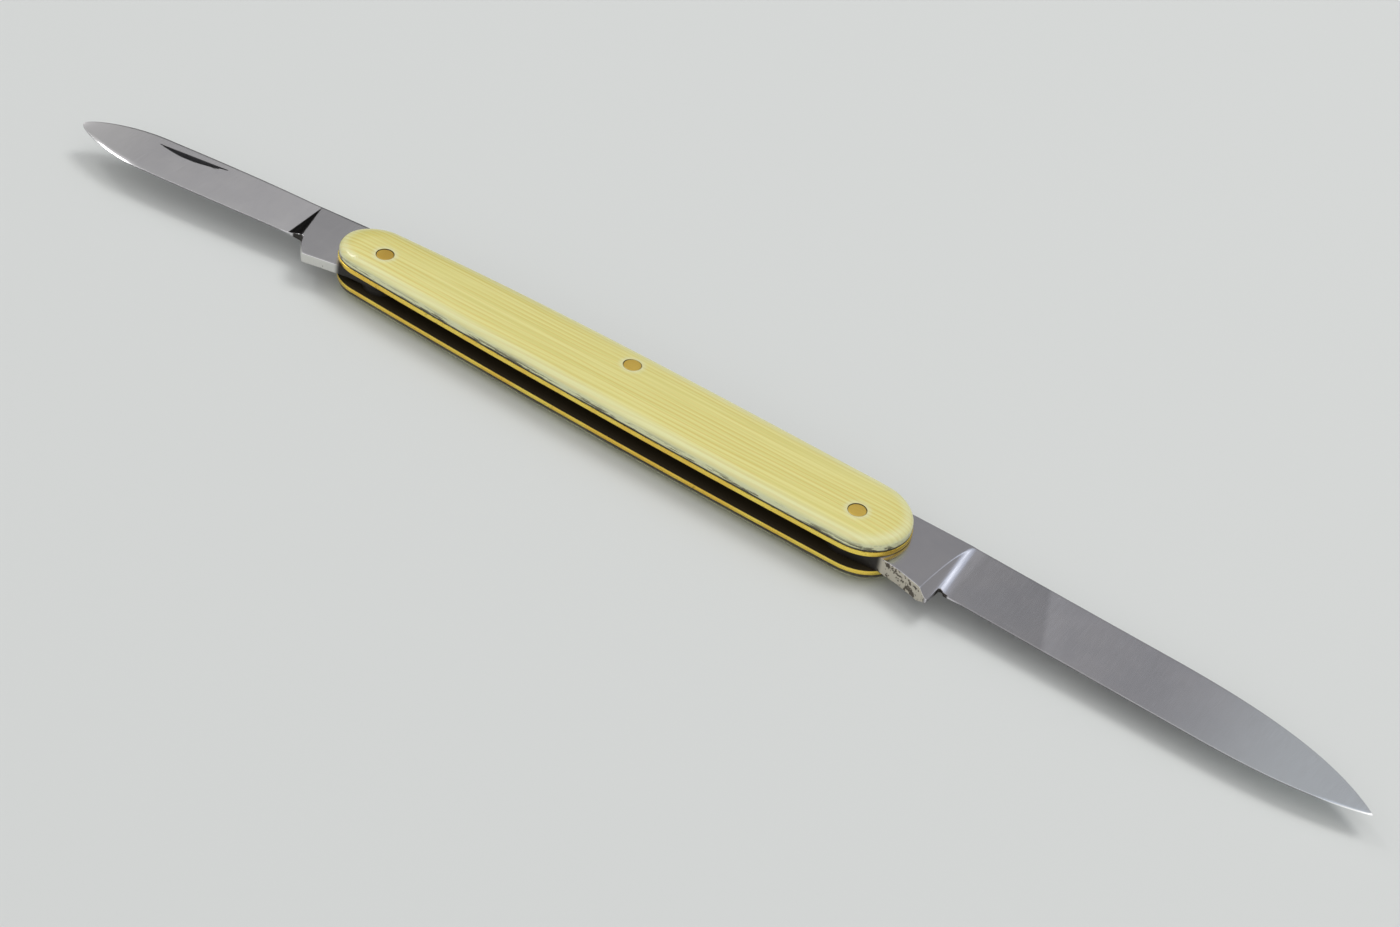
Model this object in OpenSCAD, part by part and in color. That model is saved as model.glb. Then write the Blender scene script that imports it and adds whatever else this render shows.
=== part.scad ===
// Pen knife with a large and a small blade, one at each end of the handle, on one back spring.
// X runs along the handle with the large blade at +X, Y points to the back spring, Z is up.
// The origin is on the flat of the lower scale, midway between the two pivot pins.

/* [Handle outline] */
// Distance between the two pivot pins
pivot_span = 70; // [64:0.5:76]
// How far the handle reaches past the large blade's pivot
large_end_reach = 6.4; // [5.8:0.1:7.2]
// How far the handle reaches past the small blade's pivot
small_end_reach = 6.9; // [6.5:0.1:7.7]
// Length of the rounded part of the large end
large_end_round = 6.1; // [5:0.1:7]
// Length of the rounded part of the small end
small_end_round = 5.1; // [4.5:0.1:6.2]
// Width of the handle where the large end starts to round
large_end_width = 11.5; // [11:0.1:12.5]
// Width of the handle where the small end starts to round
small_end_width = 8.8; // [8.4:0.1:9.6]
// Middle of the large end, measured from the line of the pivots towards the back
large_end_middle = 1.3; // [1:0.05:1.6]
// Middle of the small end, measured from the line of the pivots towards the back
small_end_middle = 0.95; // [0.8:0.05:1.1]
// How far each long side bows out between the ends
side_bow = 0.5; // [0.2:0.05:0.8]
// Extra bow of the back, fullest at a third of the way from the small end
back_fullness = 0.32; // [0:0.02:0.5]
// Squareness of the ends' front corners, where 2 is an ellipse and more is squarer
front_squareness = 2.2; // [2:0.05:2.6]
// Squareness of the ends' back corners
back_squareness = 1.85; // [1.8:0.05:2.4]

/* [Handle layers] */
// Thickness of a scale at its crown
scale_t = 1.85; // [1.6:0.05:2.4]
// Height of the upper scale's upright edge
mark_land = 0.7; // [0.5:0.05:0.8]
// Width of the rounding along the upper scale's edge
mark_round = 1; // [0.7:0.05:1.3]
// Height of the lower scale's upright edge
pile_land = 0.15; // [0.1:0.05:0.4]
// Width of the rounding along the lower scale's edge
pile_round = 2.1; // [1.6:0.1:2.3]
// Rise of a scale from the rounding to the crown
scale_crown = 0.35; // [0.2:0.05:0.5]
// How far the liner shows past the scale
liner_proud = 0.1; // [0.05:0.01:0.2]
// Thickness of a liner
liner_t = 0.62; // [0.5:0.02:0.8]
// Width of the slot between the liners, filled by the spring
slot_w = 2.2; // [2.2:0.05:2.6]

/* [Pins] */
// Diameter of the pins
pin_d = 2.2; // [1.8:0.05:2.4]
// Clearance between a pivot pin and the blade on it, all round
pivot_clearance = 0.03; // [0.02:0.01:0.08]
// How far the pins' heads lie under the scales' crowns
pin_recess = 0.02; // [0.01:0.01:0.05]
// Place of the spring's pin along the handle, from the middle
spring_pin_x = 0.35; // [-2:0.05:2]
// Distance of the spring's pin from the line of the pivots
spring_pin_y = 3.63; // [3.4:0.01:4]

/* [Back spring] */
// Distance from the spring's pin to the spring's belly
spring_belly = 2.1; // [1.7:0.05:2.1]
// Length of each thick end that bears on a tang
spring_end_l = 6.8; // [6:0.1:7.5]
// Gap between the end of the spring and the shoulder of a blade
spring_end_gap = 0.1; // [0.05:0.01:0.2]
// Gap between the spring and the tang under it
spring_bearing_gap = 0.05; // [0.03:0.01:0.1]
// Gap between the spring and the kick of a closed blade
stop_gap = 0.1; // [0.05:0.01:0.2]

/* [Both blades] */
// Gap between a tang and the liner on each side of it
side_gap = 0.05; // [0.03:0.01:0.08]
// Distance from the pivot to the shoulder that meets the spring's end
shoulder_u = 3.4; // [3.2:0.05:3.6]
// Thickness of the cutting edges
edge_t = 0.16; // [0.1:0.01:0.2]

/* [Large blade] */
// Distance from the pivot to the tip
large_l = 66.4; // [60:0.1:66.8]
// Distance from the pivot to the spring's bearing on the tang
large_bearing = 3.2; // [2.9:0.05:3.4]
// Height of the back over the pivot at the tang
large_back = 6.6; // [6.2:0.05:6.8]
// Depth of the cutting edge under the pivot
large_edge = 1.95; // [1.8:0.05:2.3]
// Height of the tip over the pivot
large_tip = 0.8; // [0.2:0.05:1]
// Distance from the pivot to the kick's corner
large_kick_u = 12.5; // [12:0.1:13]
// Depth of the kick's corner under the pivot
large_kick = 4; // [3.9:0.05:4.3]
// Radius of the hollow where the grinding starts
large_plunge_r = 5.3; // [4.4:0.1:6]
// Thickness of the back at the tip
large_tip_t = 0.3; // [0.2:0.02:0.36]
// Turn from open to closed, in degrees
large_swing = 178.2; // [177:0.1:179]
// Length of the nail nick
large_nick_l = 12; // [9:0.5:14]

/* [Small blade] */
// Distance from the pivot to the tip
small_l = 48.4; // [44:0.1:49]
// Distance from the pivot to the spring's bearing on the tang
small_bearing = 2.7; // [2.5:0.05:2.8]
// Height of the back over the pivot at the tang
small_back = 5.75; // [5.6:0.05:5.9]
// Depth of the cutting edge under the pivot at the belly
small_edge = 4.8; // [4.6:0.05:5]
// Depth of the tip under the pivot
small_tip = 2.5; // [2.2:0.05:2.8]
// Distance from the pivot to the kick's corner
small_kick_u = 9.7; // [9.3:0.1:10]
// Depth of the kick's corner under the pivot
small_kick = 4.3; // [4.1:0.05:4.5]
// Thickness of the tang outside the round boss at the pivot
small_tang_t = 1.3; // [1.2:0.02:1.4]
// Radius of the hollow where the grinding starts
small_plunge_r = 1.7; // [1.4:0.1:2]
// Thickness of the back at the tip
small_tip_t = 0.32; // [0.2:0.02:0.36]
// Turn from open to closed, in degrees
small_swing = 174; // [172:0.5:175]
// Length of the nail nick
small_nick_l = 10.8; // [8:0.2:12]

/* [Nail nicks] */
// Width of a nail nick
nick_w = 1.15; // [0.9:0.05:1.3]
// Distance from the back of a blade to the straight side of its nick
nick_drop = 1.2; // [1:0.05:1.5]
// Lean of the nick's steep wall, in degrees
nick_lean = 20; // [16:1:24]

/* [Hidden] */

$fn = 64;

// Steps along each rounded end, each long side and each blade
END_STEPS = 24;
SIDE_STEPS = 16;
ROOT_STEPS = 12;
RUN_STEPS = 8;
TIP_STEPS = 14;
// Steps across the rounding of a scale, its dome and the ground faces of a blade
ROUND_STEPS = 5;
DOME_STEPS = 5;
RIB_STEPS = 7;
// Extra length of a cutting tool past the face that it cuts
OVER = 1;

// Heights of the layers, from the face that the knife lies on
pile_liner_z = scale_t;
slot_z = pile_liner_z + liner_t;
mark_liner_z = slot_z + slot_w;
mark_scale_z = mark_liner_z + liner_t;
handle_t = mark_scale_z + scale_t;

// Lower and upper face of the tangs
tang_z0 = slot_z + side_gap;
tang_z1 = mark_liner_z - side_gap;
tang_t = tang_z1 - tang_z0;

large_x = pivot_span / 2;
small_x = -pivot_span / 2;
large_cam_r = large_bearing - spring_bearing_gap;
small_cam_r = small_bearing - spring_bearing_gap;

// Centres of the two rounded ends
large_centre = [large_x + large_end_reach - large_end_round, large_end_middle];
small_centre = [small_x - small_end_reach + small_end_round, small_end_middle];

// Points of a cubic curve from a to d that leaves towards b and arrives from c
function curve(a, b, c, d, n) =
    [for (i = [0:n]) let (t = i / n, s = 1 - t)
        s * s * s * a + 3 * s * s * t * b + 3 * s * t * t * c + t * t * t * d];
function tail(list) = [for (i = [1:len(list) - 1]) list[i]];
function between(a, b, t) = a + (b - a) * t;
function turned(p, a) = [p[0] * cos(a) - p[1] * sin(a), p[0] * sin(a) + p[1] * cos(a)];

// One coordinate of a rounded end, for a sine or cosine s and a squareness n
function squared(s, n) = sign(s) * pow(abs(s), 2 / n);
function end_point(centre, length, width, a) =
    let (n = sin(a) < 0 ? front_squareness : back_squareness)
    centre + [length * squared(cos(a), n), width / 2 * squared(sin(a), n)];
function side_point(side, t) =
    [between(small_centre[0], large_centre[0], t),
     between(small_centre[1], large_centre[1], t)
     + side * (between(small_end_width, large_end_width, t) / 2 + 4 * side_bow * t * (1 - t))
     + (side > 0 ? back_fullness * 27 / 4 * t * pow(1 - t, 2) : 0)];

// The handle's outline, anticlockwise from the front corner of the large end
outline = concat(
    [for (i = [0:END_STEPS]) let (a = -90 + 180 * i / END_STEPS)
        end_point(large_centre, large_end_round, large_end_width, a)],
    [for (i = [1:SIDE_STEPS - 1]) side_point(1, 1 - i / SIDE_STEPS)],
    [for (i = [0:END_STEPS]) let (a = 90 + 180 * i / END_STEPS)
        end_point(small_centre, small_end_round, small_end_width, a)],
    [for (i = [1:SIDE_STEPS - 1]) side_point(-1, i / SIDE_STEPS)]);

// The point of the handle's middle line that lies across from p
function across(p) =
    let (along = large_centre - small_centre,
         t = (p - small_centre) * along / (along * along))
    between(small_centre, large_centre, min(1, max(0, t)));
function inset(p, d) = let (m = across(p)) p + (m - p) * d / norm(m - p);

// Rise of a scale's dome at a share s of the way to the middle line. The crown is cut flat at
// flat_share, so the last ring, at dome_share, lies over the cut.
flat_share = 0.5;
dome_share = 0.8;
function dome_rise(s) = scale_crown * (1 - pow(1 - s, 2)) / (1 - pow(1 - flat_share, 2));

// Rings of a scale, each as its inset, its share of the way to the middle line, and its height
function scale_rings(land, width) =
    let (rise = scale_t - land - scale_crown)
    concat(
        [[liner_proud, 0, 0]],
        [for (i = [0:ROUND_STEPS]) let (a = 90 * i / ROUND_STEPS)
            [liner_proud + width * (1 - cos(a)), 0, land + rise * sin(a)]],
        [for (i = [1:DOME_STEPS]) let (s = dome_share * i / DOME_STEPS)
            [liner_proud + width, s, land + rise + dome_rise(s)]]);

// A scale that stands on z = 0 with its dome upwards, cut flat at the crown
module scale_blank(land, width) {
    n = len(outline);
    profile = scale_rings(land, width);
    rings = len(profile);
    points = [for (r = profile) for (p = outline)
        let (q = inset(p, r[0]), m = between(q, across(p), r[1])) [m[0], m[1], r[2]]];
    walls = [for (r = [0:rings - 2]) for (i = [0:n - 1])
        let (j = (i + 1) % n, a = r * n, b = (r + 1) * n)
        each [[b + i, b + j, a + j], [b + i, a + j, a + i]]];
    base = [for (i = [0:n - 1]) i];
    crown = [for (i = [n - 1:-1:0]) (rings - 1) * n + i];
    difference() {
        polyhedron(points, concat([base], walls, [crown]));
        translate([0, 0, scale_t]) cut_slab(OVER);
    }
}

// A block over the whole handle, used to cut it
module cut_slab(height) {
    translate([-pivot_span, -large_end_width, 0])
        cube([2 * pivot_span, 2 * large_end_width, height]);
}

module pin_hole(p) {
    translate([p[0], p[1], -OVER]) cylinder(d = pin_d, h = handle_t + 2 * OVER);
}

module pin_holes() {
    pin_hole([large_x, 0]);
    pin_hole([small_x, 0]);
    pin_hole([spring_pin_x, spring_pin_y]);
}

module mark_scale() {
    color("khaki") difference() {
        translate([0, 0, mark_scale_z]) scale_blank(mark_land, mark_round);
        pin_holes();
    }
}

module pile_scale() {
    color("khaki") difference() {
        translate([0, 0, pile_liner_z]) mirror([0, 0, 1]) scale_blank(pile_land, pile_round);
        pin_holes();
    }
}

module liner(z) {
    color("goldenrod") difference() {
        translate([0, 0, z]) linear_extrude(liner_t) polygon(outline);
        pin_holes();
    }
}

module mark_liner() {
    liner(mark_liner_z);
}

module pile_liner() {
    liner(pile_liner_z);
}

// Where the kicks lie on the spring when the blades are closed
large_seat = turned([large_kick_u, -large_kick], -large_swing) + [0, stop_gap];
small_seat = turned([small_kick_u, -small_kick], -small_swing) + [0, stop_gap];
large_seat_x = large_x + large_seat[0];
small_seat_x = small_x - small_seat[0];
// Length of each seat from the kick's corner, towards the middle and towards the end
large_seat_l = [2.4, 2.4];
small_seat_l = [2.4, 1];
// Both ends of the spring, and where their thick parts end
large_spring_x = large_x + shoulder_u - spring_end_gap;
small_spring_x = small_x - shoulder_u + spring_end_gap;
large_thick_x = large_spring_x - spring_end_l;
small_thick_x = small_spring_x + spring_end_l - 1;
belly = [spring_pin_x, spring_pin_y - spring_belly];
// How far each curve of the spring's inner side runs on level before it bends: at a thick end,
// at a seat on its outer and inner side, and at the belly
thick_ease = [3, 1];
seat_ease = [2, 8];
belly_ease = 10;
BEND_STEPS = 6;
BELLY_STEPS = 10;

// A curve between two levels, which leaves a level and arrives level, each eased by its own length
function eased(a, b, ease_a, ease_b, n) =
    let (way = sign(b[0] - a[0]))
    curve(a, [a[0] + way * ease_a, a[1]], [b[0] - way * ease_b, b[1]], b, n);

// The spring's inner side, from the large end to the small end
spring_inside = concat(
    [[large_spring_x, large_bearing]],
    eased([large_thick_x, large_bearing], [large_seat_x + large_seat_l[1], large_seat[1]],
          thick_ease[0], seat_ease[0], BEND_STEPS),
    eased([large_seat_x - large_seat_l[0], large_seat[1]], belly,
          seat_ease[1], belly_ease, BELLY_STEPS),
    tail(eased(belly, [small_seat_x + small_seat_l[0], small_seat[1]],
               belly_ease, seat_ease[1], BELLY_STEPS)),
    eased([small_seat_x - small_seat_l[1], small_seat[1]], [small_thick_x, small_bearing],
          seat_ease[0], thick_ease[1], BEND_STEPS),
    [[small_spring_x, small_bearing]]);

module back_spring() {
    beyond = large_end_width;
    color("dimgray") difference() {
        intersection() {
            translate([0, 0, slot_z]) linear_extrude(slot_w) polygon(outline);
            translate([0, 0, slot_z]) linear_extrude(slot_w)
                polygon(concat(spring_inside, [[small_spring_x, beyond], [large_spring_x, beyond]]));
        }
        pin_holes();
    }
}

// A ground blade between its edge and its back, two lists of points from the tang to the tip.
// z_top and z_bottom give the height of each face at a point and at a share v from edge to back.
module ground(edge, back, z_top, z_bottom) {
    n = len(edge);
    w = RIB_STEPS + 1;
    ribs = [for (i = [0:n - 1]) for (k = [0:RIB_STEPS])
        let (v = k / RIB_STEPS, p = between(edge[i], back[i], v)) [p[0], p[1], v]];
    points = concat([for (r = ribs) [r[0], r[1], z_top(r[0], r[1], r[2])]],
                    [for (r = ribs) [r[0], r[1], z_bottom(r[0], r[1], r[2])]]);
    low = n * w;
    top = [for (i = [0:n - 2]) for (k = [0:RIB_STEPS - 1]) let (a = i * w + k, b = a + w)
        each [[a, a + 1, b + 1], [a, b + 1, b]]];
    bottom = [for (f = top) [f[2] + low, f[1] + low, f[0] + low]];
    edge_wall = [for (i = [0:n - 2]) let (a = i * w, b = a + w)
        each [[a, b, b + low], [a, b + low, a + low]]];
    back_wall = [for (i = [0:n - 2]) let (a = i * w + RIB_STEPS, b = a + w)
        each [[b, a, a + low], [b, a + low, b + low]]];
    root_wall = [for (k = [0:RIB_STEPS - 1])
        each [[k + 1, k, k + low], [k + 1, k + low, k + 1 + low]]];
    tip_wall = [for (k = [0:RIB_STEPS - 1]) let (a = (n - 1) * w + k)
        each [[a, a + 1, a + 1 + low], [a, a + 1 + low, a + low]]];
    polyhedron(points, concat(top, bottom, edge_wall, back_wall, root_wall, tip_wall));
}

// Height of the hollow over a ground face, at a distance s before the line where the hollow ends
function hollow(s, r) = s <= 0 ? 0 : s >= r ? r : r - sqrt(r * r - s * s);

// A nail nick that opens upwards on z = 0, with its straight side on y = 0 and its bow towards -Y
module nick(length) {
    sagitta = nick_w * sin(nick_lean);
    r = (length * length / 4 + sagitta * sagitta) / (2 * sagitta);
    // A cutting wheel of radius r, leaning by nick_lean
    translate([0, (r - sagitta) * sin(nick_lean), (r - sagitta) * cos(nick_lean)])
        rotate([90 - nick_lean, 0, 0]) cylinder(r = r, h = 2 * nick_w, $fn = 180);
}

// Both blades are drawn with the pivot at the origin, the tip towards +X and the back towards +Y.
// Each has a root, where the grinding starts, a run that is nearly straight, and a curve to the tip.

// How far the back end of the first rib lies inside the tang
ROOT_SINK = 0.3;
// A point of the edge along a root, whose height runs from the first to the second of heights
function root_point(root, heights, i) =
    [between(root[0], root[1], i / ROOT_STEPS), between(heights[0], heights[1], i / ROOT_STEPS)];
// Where a tang ends: at the second rib of the ground part, so that the two share one rib
function tang_end(root) = between(root[0], root[1], 1 / ROOT_STEPS);

// Where the ground part of the large blade starts in the tang, and where its root ends
large_root = [11.2, 15.8];
// Height of the edge at the kick's notch and at the end of the root
large_notch = [-2.05, -1.7];
// Where the straight runs of the edge and of the back end, and how far the back rises by then
large_edge_run = 45;
large_back_run = 38;
large_back_rise = 0.35;
// The line where the hollow meets the ground face: its place at the back, and its slant
large_plunge_u = 12.75;
large_plunge_slant = 0.25;
// How fast the back thins towards the tip, where 1 is a straight taper
large_taper = 1.25;
// How far the lower face rises off the plane of the tang by the tip
large_lift = 0.25;
// Share of the thickness by which the edge stands in from the lower face
GRIND_SHARE = 0.4;
// How much thinner a blade's back is than its tang
GRIND_START = 0.05;
// Width of the tip, and how far it lies inside the length
tip_w = 0.25;

function large_back_y(u) =
    large_back + large_back_rise * (u - shoulder_u) / (large_back_run - shoulder_u);
large_edge_end = [large_l - tip_w / 2, large_tip - tip_w / 2];
large_back_end = [large_l, large_tip + tip_w / 2];

large_edge_start = [large_root[1], large_notch[1]];
large_edge_turn = [large_edge_run, -large_edge];
large_back_turn = [large_back_run, large_back_y(large_back_run)];
// The two points that each curve to the tip is drawn towards
large_edge_pull = [[large_l - 13.4, -large_edge - 0.15], [large_l - 6.4, -large_edge + 0.3]];
large_back_pull = [[large_back_run + 10, large_back_y(large_back_run + 10)],
                   [large_l - 7.4, large_tip + 5.6]];

large_edge_line = concat(
    [for (i = [0:ROOT_STEPS]) root_point(large_root, large_notch, i)],
    [for (i = [1:RUN_STEPS]) between(large_edge_start, large_edge_turn, i / RUN_STEPS)],
    tail(curve(large_edge_turn, large_edge_pull[0], large_edge_pull[1], large_edge_end, TIP_STEPS)));
large_back_line = concat(
    [for (i = [0:ROOT_STEPS]) let (u = between(large_root[0], large_root[1], i / ROOT_STEPS))
        [u, large_back_y(u) - (i == 0 ? ROOT_SINK : 0)]],
    [for (i = [1:RUN_STEPS]) let (u = between(large_root[1], large_back_run, i / RUN_STEPS))
        [u, large_back_y(u)]],
    tail(curve(large_back_turn, large_back_pull[0], large_back_pull[1], large_back_end, TIP_STEPS)));

// Share of the ground length that is left between u and the tip
function large_left(u) = min(1, max(0, (large_l - u) / (large_l - large_plunge_u)));
function large_back_t(u) = between(large_tip_t, tang_t - GRIND_START, pow(large_left(u), large_taper));
function large_low(u, v) = tang_z0 + large_lift * (1 - large_left(u))
    + GRIND_SHARE * (large_back_t(u) - edge_t) * (1 - v);
function large_high(u, v) = large_low(u, v) + between(edge_t, large_back_t(u), v);
function large_hollow(u, y) =
    hollow(large_plunge_u + large_plunge_slant * (large_back - y) - u, large_plunge_r);

// The kick's two points beside the notch, and its lower side from the corner towards the pivot
large_kick_line = [
    [tang_end(large_root), large_notch[0] + 0.25],
    [large_kick_u + 0.1, large_notch[0] - 0.1],
    for (step = [[0, 0], [-0.4, -0.02], [-1.8, 0.45], [-4.5, 1.1], [-7.3, 1.45]])
        [large_kick_u, -large_kick] + step,
    [0, 0.25 - large_cam_r]];

// The large blade's tang, with a round end that turns under the spring
module large_tang() {
    translate([0, 0, tang_z0]) {
        cylinder(r = large_cam_r, h = tang_t);
        linear_extrude(tang_t) polygon(concat(
            [[0, large_cam_r], [shoulder_u, large_cam_r], [shoulder_u, large_back],
             [tang_end(large_root), large_back_y(tang_end(large_root))]],
            large_kick_line));
    }
}

// The bore for a pivot pin
module pivot_bore() {
    translate([0, 0, tang_z0 - OVER])
        cylinder(d = pin_d + 2 * pivot_clearance, h = tang_t + 2 * OVER);
}

// Middle of the large blade's nail nick, along the blade
large_nick_u = 36;

module large_blade_open() {
    nick_y = large_back_y(large_nick_u) - nick_drop;
    nick_z = large_low(large_nick_u, 1 - nick_drop / (large_back + large_edge));
    difference() {
        union() {
            large_tang();
            ground(large_edge_line, large_back_line,
                   function(u, y, v) min(tang_z1, large_high(u, v) + large_hollow(u, y)),
                   function(u, y, v) max(tang_z0, large_low(u, v) - large_hollow(u, y)));
        }
        pivot_bore();
        translate([large_nick_u, nick_y, nick_z]) mirror([0, 0, 1]) nick(large_nick_l);
    }
}

module large_blade() {
    color("silver") translate([large_x, 0, 0]) large_blade_open();
}

// The same values for the small blade, whose edge and back both curve down
small_root = [11.6, 15.6];
small_notch = [-1.55, -2];
small_edge_run = 37;
small_back_run = 37;
// The tang's back is level up to the bend, and falls from there on
small_bend_u = 6.4;
small_back_slope = 0.105;
small_run_fall = 3.25;
small_plunge_u = 14.3;
small_plunge_slant = -0.12;
// Middle of the small blade's nail nick, and its slant, in degrees
small_nick = [33.2, small_back - 2.75 - nick_drop];
small_nick_turn = -9.7;
// Share of the way from edge to back at which the upper face is no longer ground
small_grind_top = 6 / 7;

function small_back_y(u) = small_back - small_back_slope * max(0, u - small_bend_u);
small_edge_end = [small_l - tip_w / 2, -small_tip - tip_w / 2];
small_back_end = [small_l, -small_tip + tip_w / 2];
small_edge_turn = [small_edge_run, -small_edge];
small_back_turn = [small_back_run, small_back - small_run_fall];
// The two points that each run and each curve to the tip is drawn towards
small_edge_sag = [[22.7, -small_edge + 1.85], [29.9, -small_edge + 0.8]];
small_back_sag = [[22.7, small_back - 1.45], [29.9, small_back - 2.3]];
small_edge_pull = [[small_l - 6.2, -small_edge - 0.55], [small_l - 0.4, -small_tip - 1.05]];
small_back_pull = [small_back_turn + [6.2, -0.5], [small_l - 0.35, -small_tip + 1.4]];

small_edge_line = concat(
    [for (i = [0:ROOT_STEPS]) root_point(small_root, small_notch, i)],
    tail(curve([small_root[1], small_notch[1]], small_edge_sag[0], small_edge_sag[1],
               small_edge_turn, RUN_STEPS)),
    tail(curve(small_edge_turn, small_edge_pull[0], small_edge_pull[1], small_edge_end, TIP_STEPS)));
small_back_line = concat(
    [for (i = [0:ROOT_STEPS]) let (u = between(small_root[0], small_root[1], i / ROOT_STEPS))
        [u, small_back_y(u) - (i == 0 ? ROOT_SINK : 0)]],
    tail(curve([small_root[1], small_back_y(small_root[1])], small_back_sag[0], small_back_sag[1],
               small_back_turn, RUN_STEPS)),
    tail(curve(small_back_turn, small_back_pull[0], small_back_pull[1], small_back_end, TIP_STEPS)));

function small_left(u) = min(1, max(0, (small_l - u) / (small_l - small_plunge_u)));
function small_back_t(u) = between(small_tip_t, small_tang_t - GRIND_START, small_left(u));
function small_high(u, v) =
    tang_z1 - GRIND_SHARE * small_back_t(u) * max(0, 1 - v / small_grind_top);
function small_low(u, v) = small_high(u, v) - between(edge_t, small_back_t(u), v);
function small_hollow(u, y) =
    hollow(small_plunge_u + small_plunge_slant * (small_back - y) - u, small_plunge_r);

small_kick_line = [
    [tang_end(small_root), small_notch[0] - 0.2],
    for (step = [[1.3, 1.3], [0.2, 0.15], [0, 0], [-0.3, -0.02], [-3.7, 0.8], [-6.7, 1.5]])
        [small_kick_u, -small_kick] + step,
    [0, 0.15 - small_cam_r]];

module small_tang() {
    translate([0, 0, tang_z0]) cylinder(r = small_cam_r, h = tang_t);
    translate([0, 0, tang_z1 - small_tang_t]) linear_extrude(small_tang_t) polygon(concat(
        [[0, small_cam_r], [shoulder_u, small_cam_r], [shoulder_u, small_back],
         [small_bend_u, small_back],
         [tang_end(small_root), small_back_y(tang_end(small_root))]],
        small_kick_line));
}

module small_blade_open() {
    difference() {
        union() {
            small_tang();
            ground(small_edge_line, small_back_line,
                   function(u, y, v) min(tang_z1, small_high(u, v) + small_hollow(u, y)),
                   function(u, y, v) max(tang_z1 - small_tang_t, small_low(u, v) - small_hollow(u, y)));
        }
        pivot_bore();
        translate([small_nick[0], small_nick[1], tang_z1])
            rotate([0, 0, small_nick_turn]) nick(small_nick_l);
    }
}

module small_blade() {
    color("silver") translate([small_x, 0, 0]) mirror([1, 0, 0]) small_blade_open();
}

module pin(p) {
    color("darkgoldenrod") translate([p[0], p[1], pin_recess])
        cylinder(d = pin_d, h = handle_t - 2 * pin_recess);
}

module large_pivot_pin() {
    pin([large_x, 0]);
}

module small_pivot_pin() {
    pin([small_x, 0]);
}

module spring_pin() {
    pin([spring_pin_x, spring_pin_y]);
}

mark_scale();
pile_scale();
mark_liner();
pile_liner();
back_spring();
large_blade();
small_blade();
large_pivot_pin();
small_pivot_pin();
spring_pin();
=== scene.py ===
# %% [markdown]
# # A folding pen knife with two blades
#
# The knife lies on its side with both blades open. Its handle is a sandwich: two brass liners with a
# steel spring between them, and an ivory-coloured celluloid scale on each side, all held by three
# brass pins. Each cell below makes one piece or one finish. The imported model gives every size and
# place, and the pieces made here are finer versions of its parts that ride on its bodies.

import math

import bmesh
import bpy
import numpy as np
from mathutils import Matrix, Vector


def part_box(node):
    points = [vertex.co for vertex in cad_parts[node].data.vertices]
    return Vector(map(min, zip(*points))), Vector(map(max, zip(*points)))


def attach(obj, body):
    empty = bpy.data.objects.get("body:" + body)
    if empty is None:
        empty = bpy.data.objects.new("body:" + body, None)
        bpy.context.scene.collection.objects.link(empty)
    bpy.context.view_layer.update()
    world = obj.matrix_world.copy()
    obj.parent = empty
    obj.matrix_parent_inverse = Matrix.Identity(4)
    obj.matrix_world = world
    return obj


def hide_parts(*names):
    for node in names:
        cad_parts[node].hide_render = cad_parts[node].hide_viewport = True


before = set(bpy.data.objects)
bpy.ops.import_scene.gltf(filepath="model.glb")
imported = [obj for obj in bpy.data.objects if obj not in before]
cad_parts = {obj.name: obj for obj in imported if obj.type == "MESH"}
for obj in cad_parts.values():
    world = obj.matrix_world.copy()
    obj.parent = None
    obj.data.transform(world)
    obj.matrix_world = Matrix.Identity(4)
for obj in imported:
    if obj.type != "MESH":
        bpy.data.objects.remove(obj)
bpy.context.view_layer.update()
scene = bpy.context.scene

# %% [markdown]
# ## Sizes from the frame
#
# Lengths in this script are in millimetres, and MM turns them into Blender's metres at the last step.
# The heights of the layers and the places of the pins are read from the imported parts, so that every
# piece made here lands where its part is.

# %% Heights and pin places
MM = 0.001


def heights(node):
    low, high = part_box(node)
    return low.z / MM, high.z / MM


def middle(node):
    low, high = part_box(node)
    return np.array([(low.x + high.x) / 2, (low.y + high.y) / 2]) / MM


PINS = {name: middle(name) for name in ("large_pivot_pin", "small_pivot_pin", "spring_pin")}
PIN_R = (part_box("spring_pin")[1].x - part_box("spring_pin")[0].x) / 2 / MM
LARGE_X = PINS["large_pivot_pin"][0]
SMALL_X = PINS["small_pivot_pin"][0]
MARK_FOOT, HANDLE_T = heights("mark_scale")
PILE_TOP = heights("pile_scale")[1]
TANG_LOW, TANG_HIGH = heights("large_blade")
TANG_T = TANG_HIGH - TANG_LOW
SLOT_Z = (TANG_LOW + TANG_HIGH) / 2
print(f"handle {HANDLE_T:.2f} mm thick, pins {2 * PIN_R:.2f} mm, tangs {TANG_T:.2f} mm")

# %% [markdown]
# ## Helpers for meshes
#
# Most pieces are built from lists of points, in rings that make a tube. Real edges are never perfectly
# sharp, so the helpers also soften edges and keep only the steep ones sharp in the shading. Holes and
# nail nicks are cut with the exact Boolean, as a drill or a wheel would cut them.

# %% Make a mesh object from points in millimetres
def add_object(name, data):
    made = bpy.data.objects.new(name, data)
    scene.collection.objects.link(made)
    return made


def mesh_piece(name, points, faces):
    mesh = bpy.data.meshes.new(name)
    mesh.from_pydata([[float(c) * MM for c in p] for p in points], [], faces)
    mesh.validate()
    return add_object(name, mesh)


def tube_faces(rings, count):
    """The faces between rings of count points each."""
    return [(r * count + i, r * count + (i + 1) % count, (r + 1) * count + (i + 1) % count,
             (r + 1) * count + i) for r in range(rings - 1) for i in range(count)]


def closed_tube(rings, count):
    ends = [tuple(range(first, first + count)) for first in (0, (rings - 1) * count)]
    return tube_faces(rings, count) + ends


print("1 mm is", MM, "m to Blender")

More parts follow.
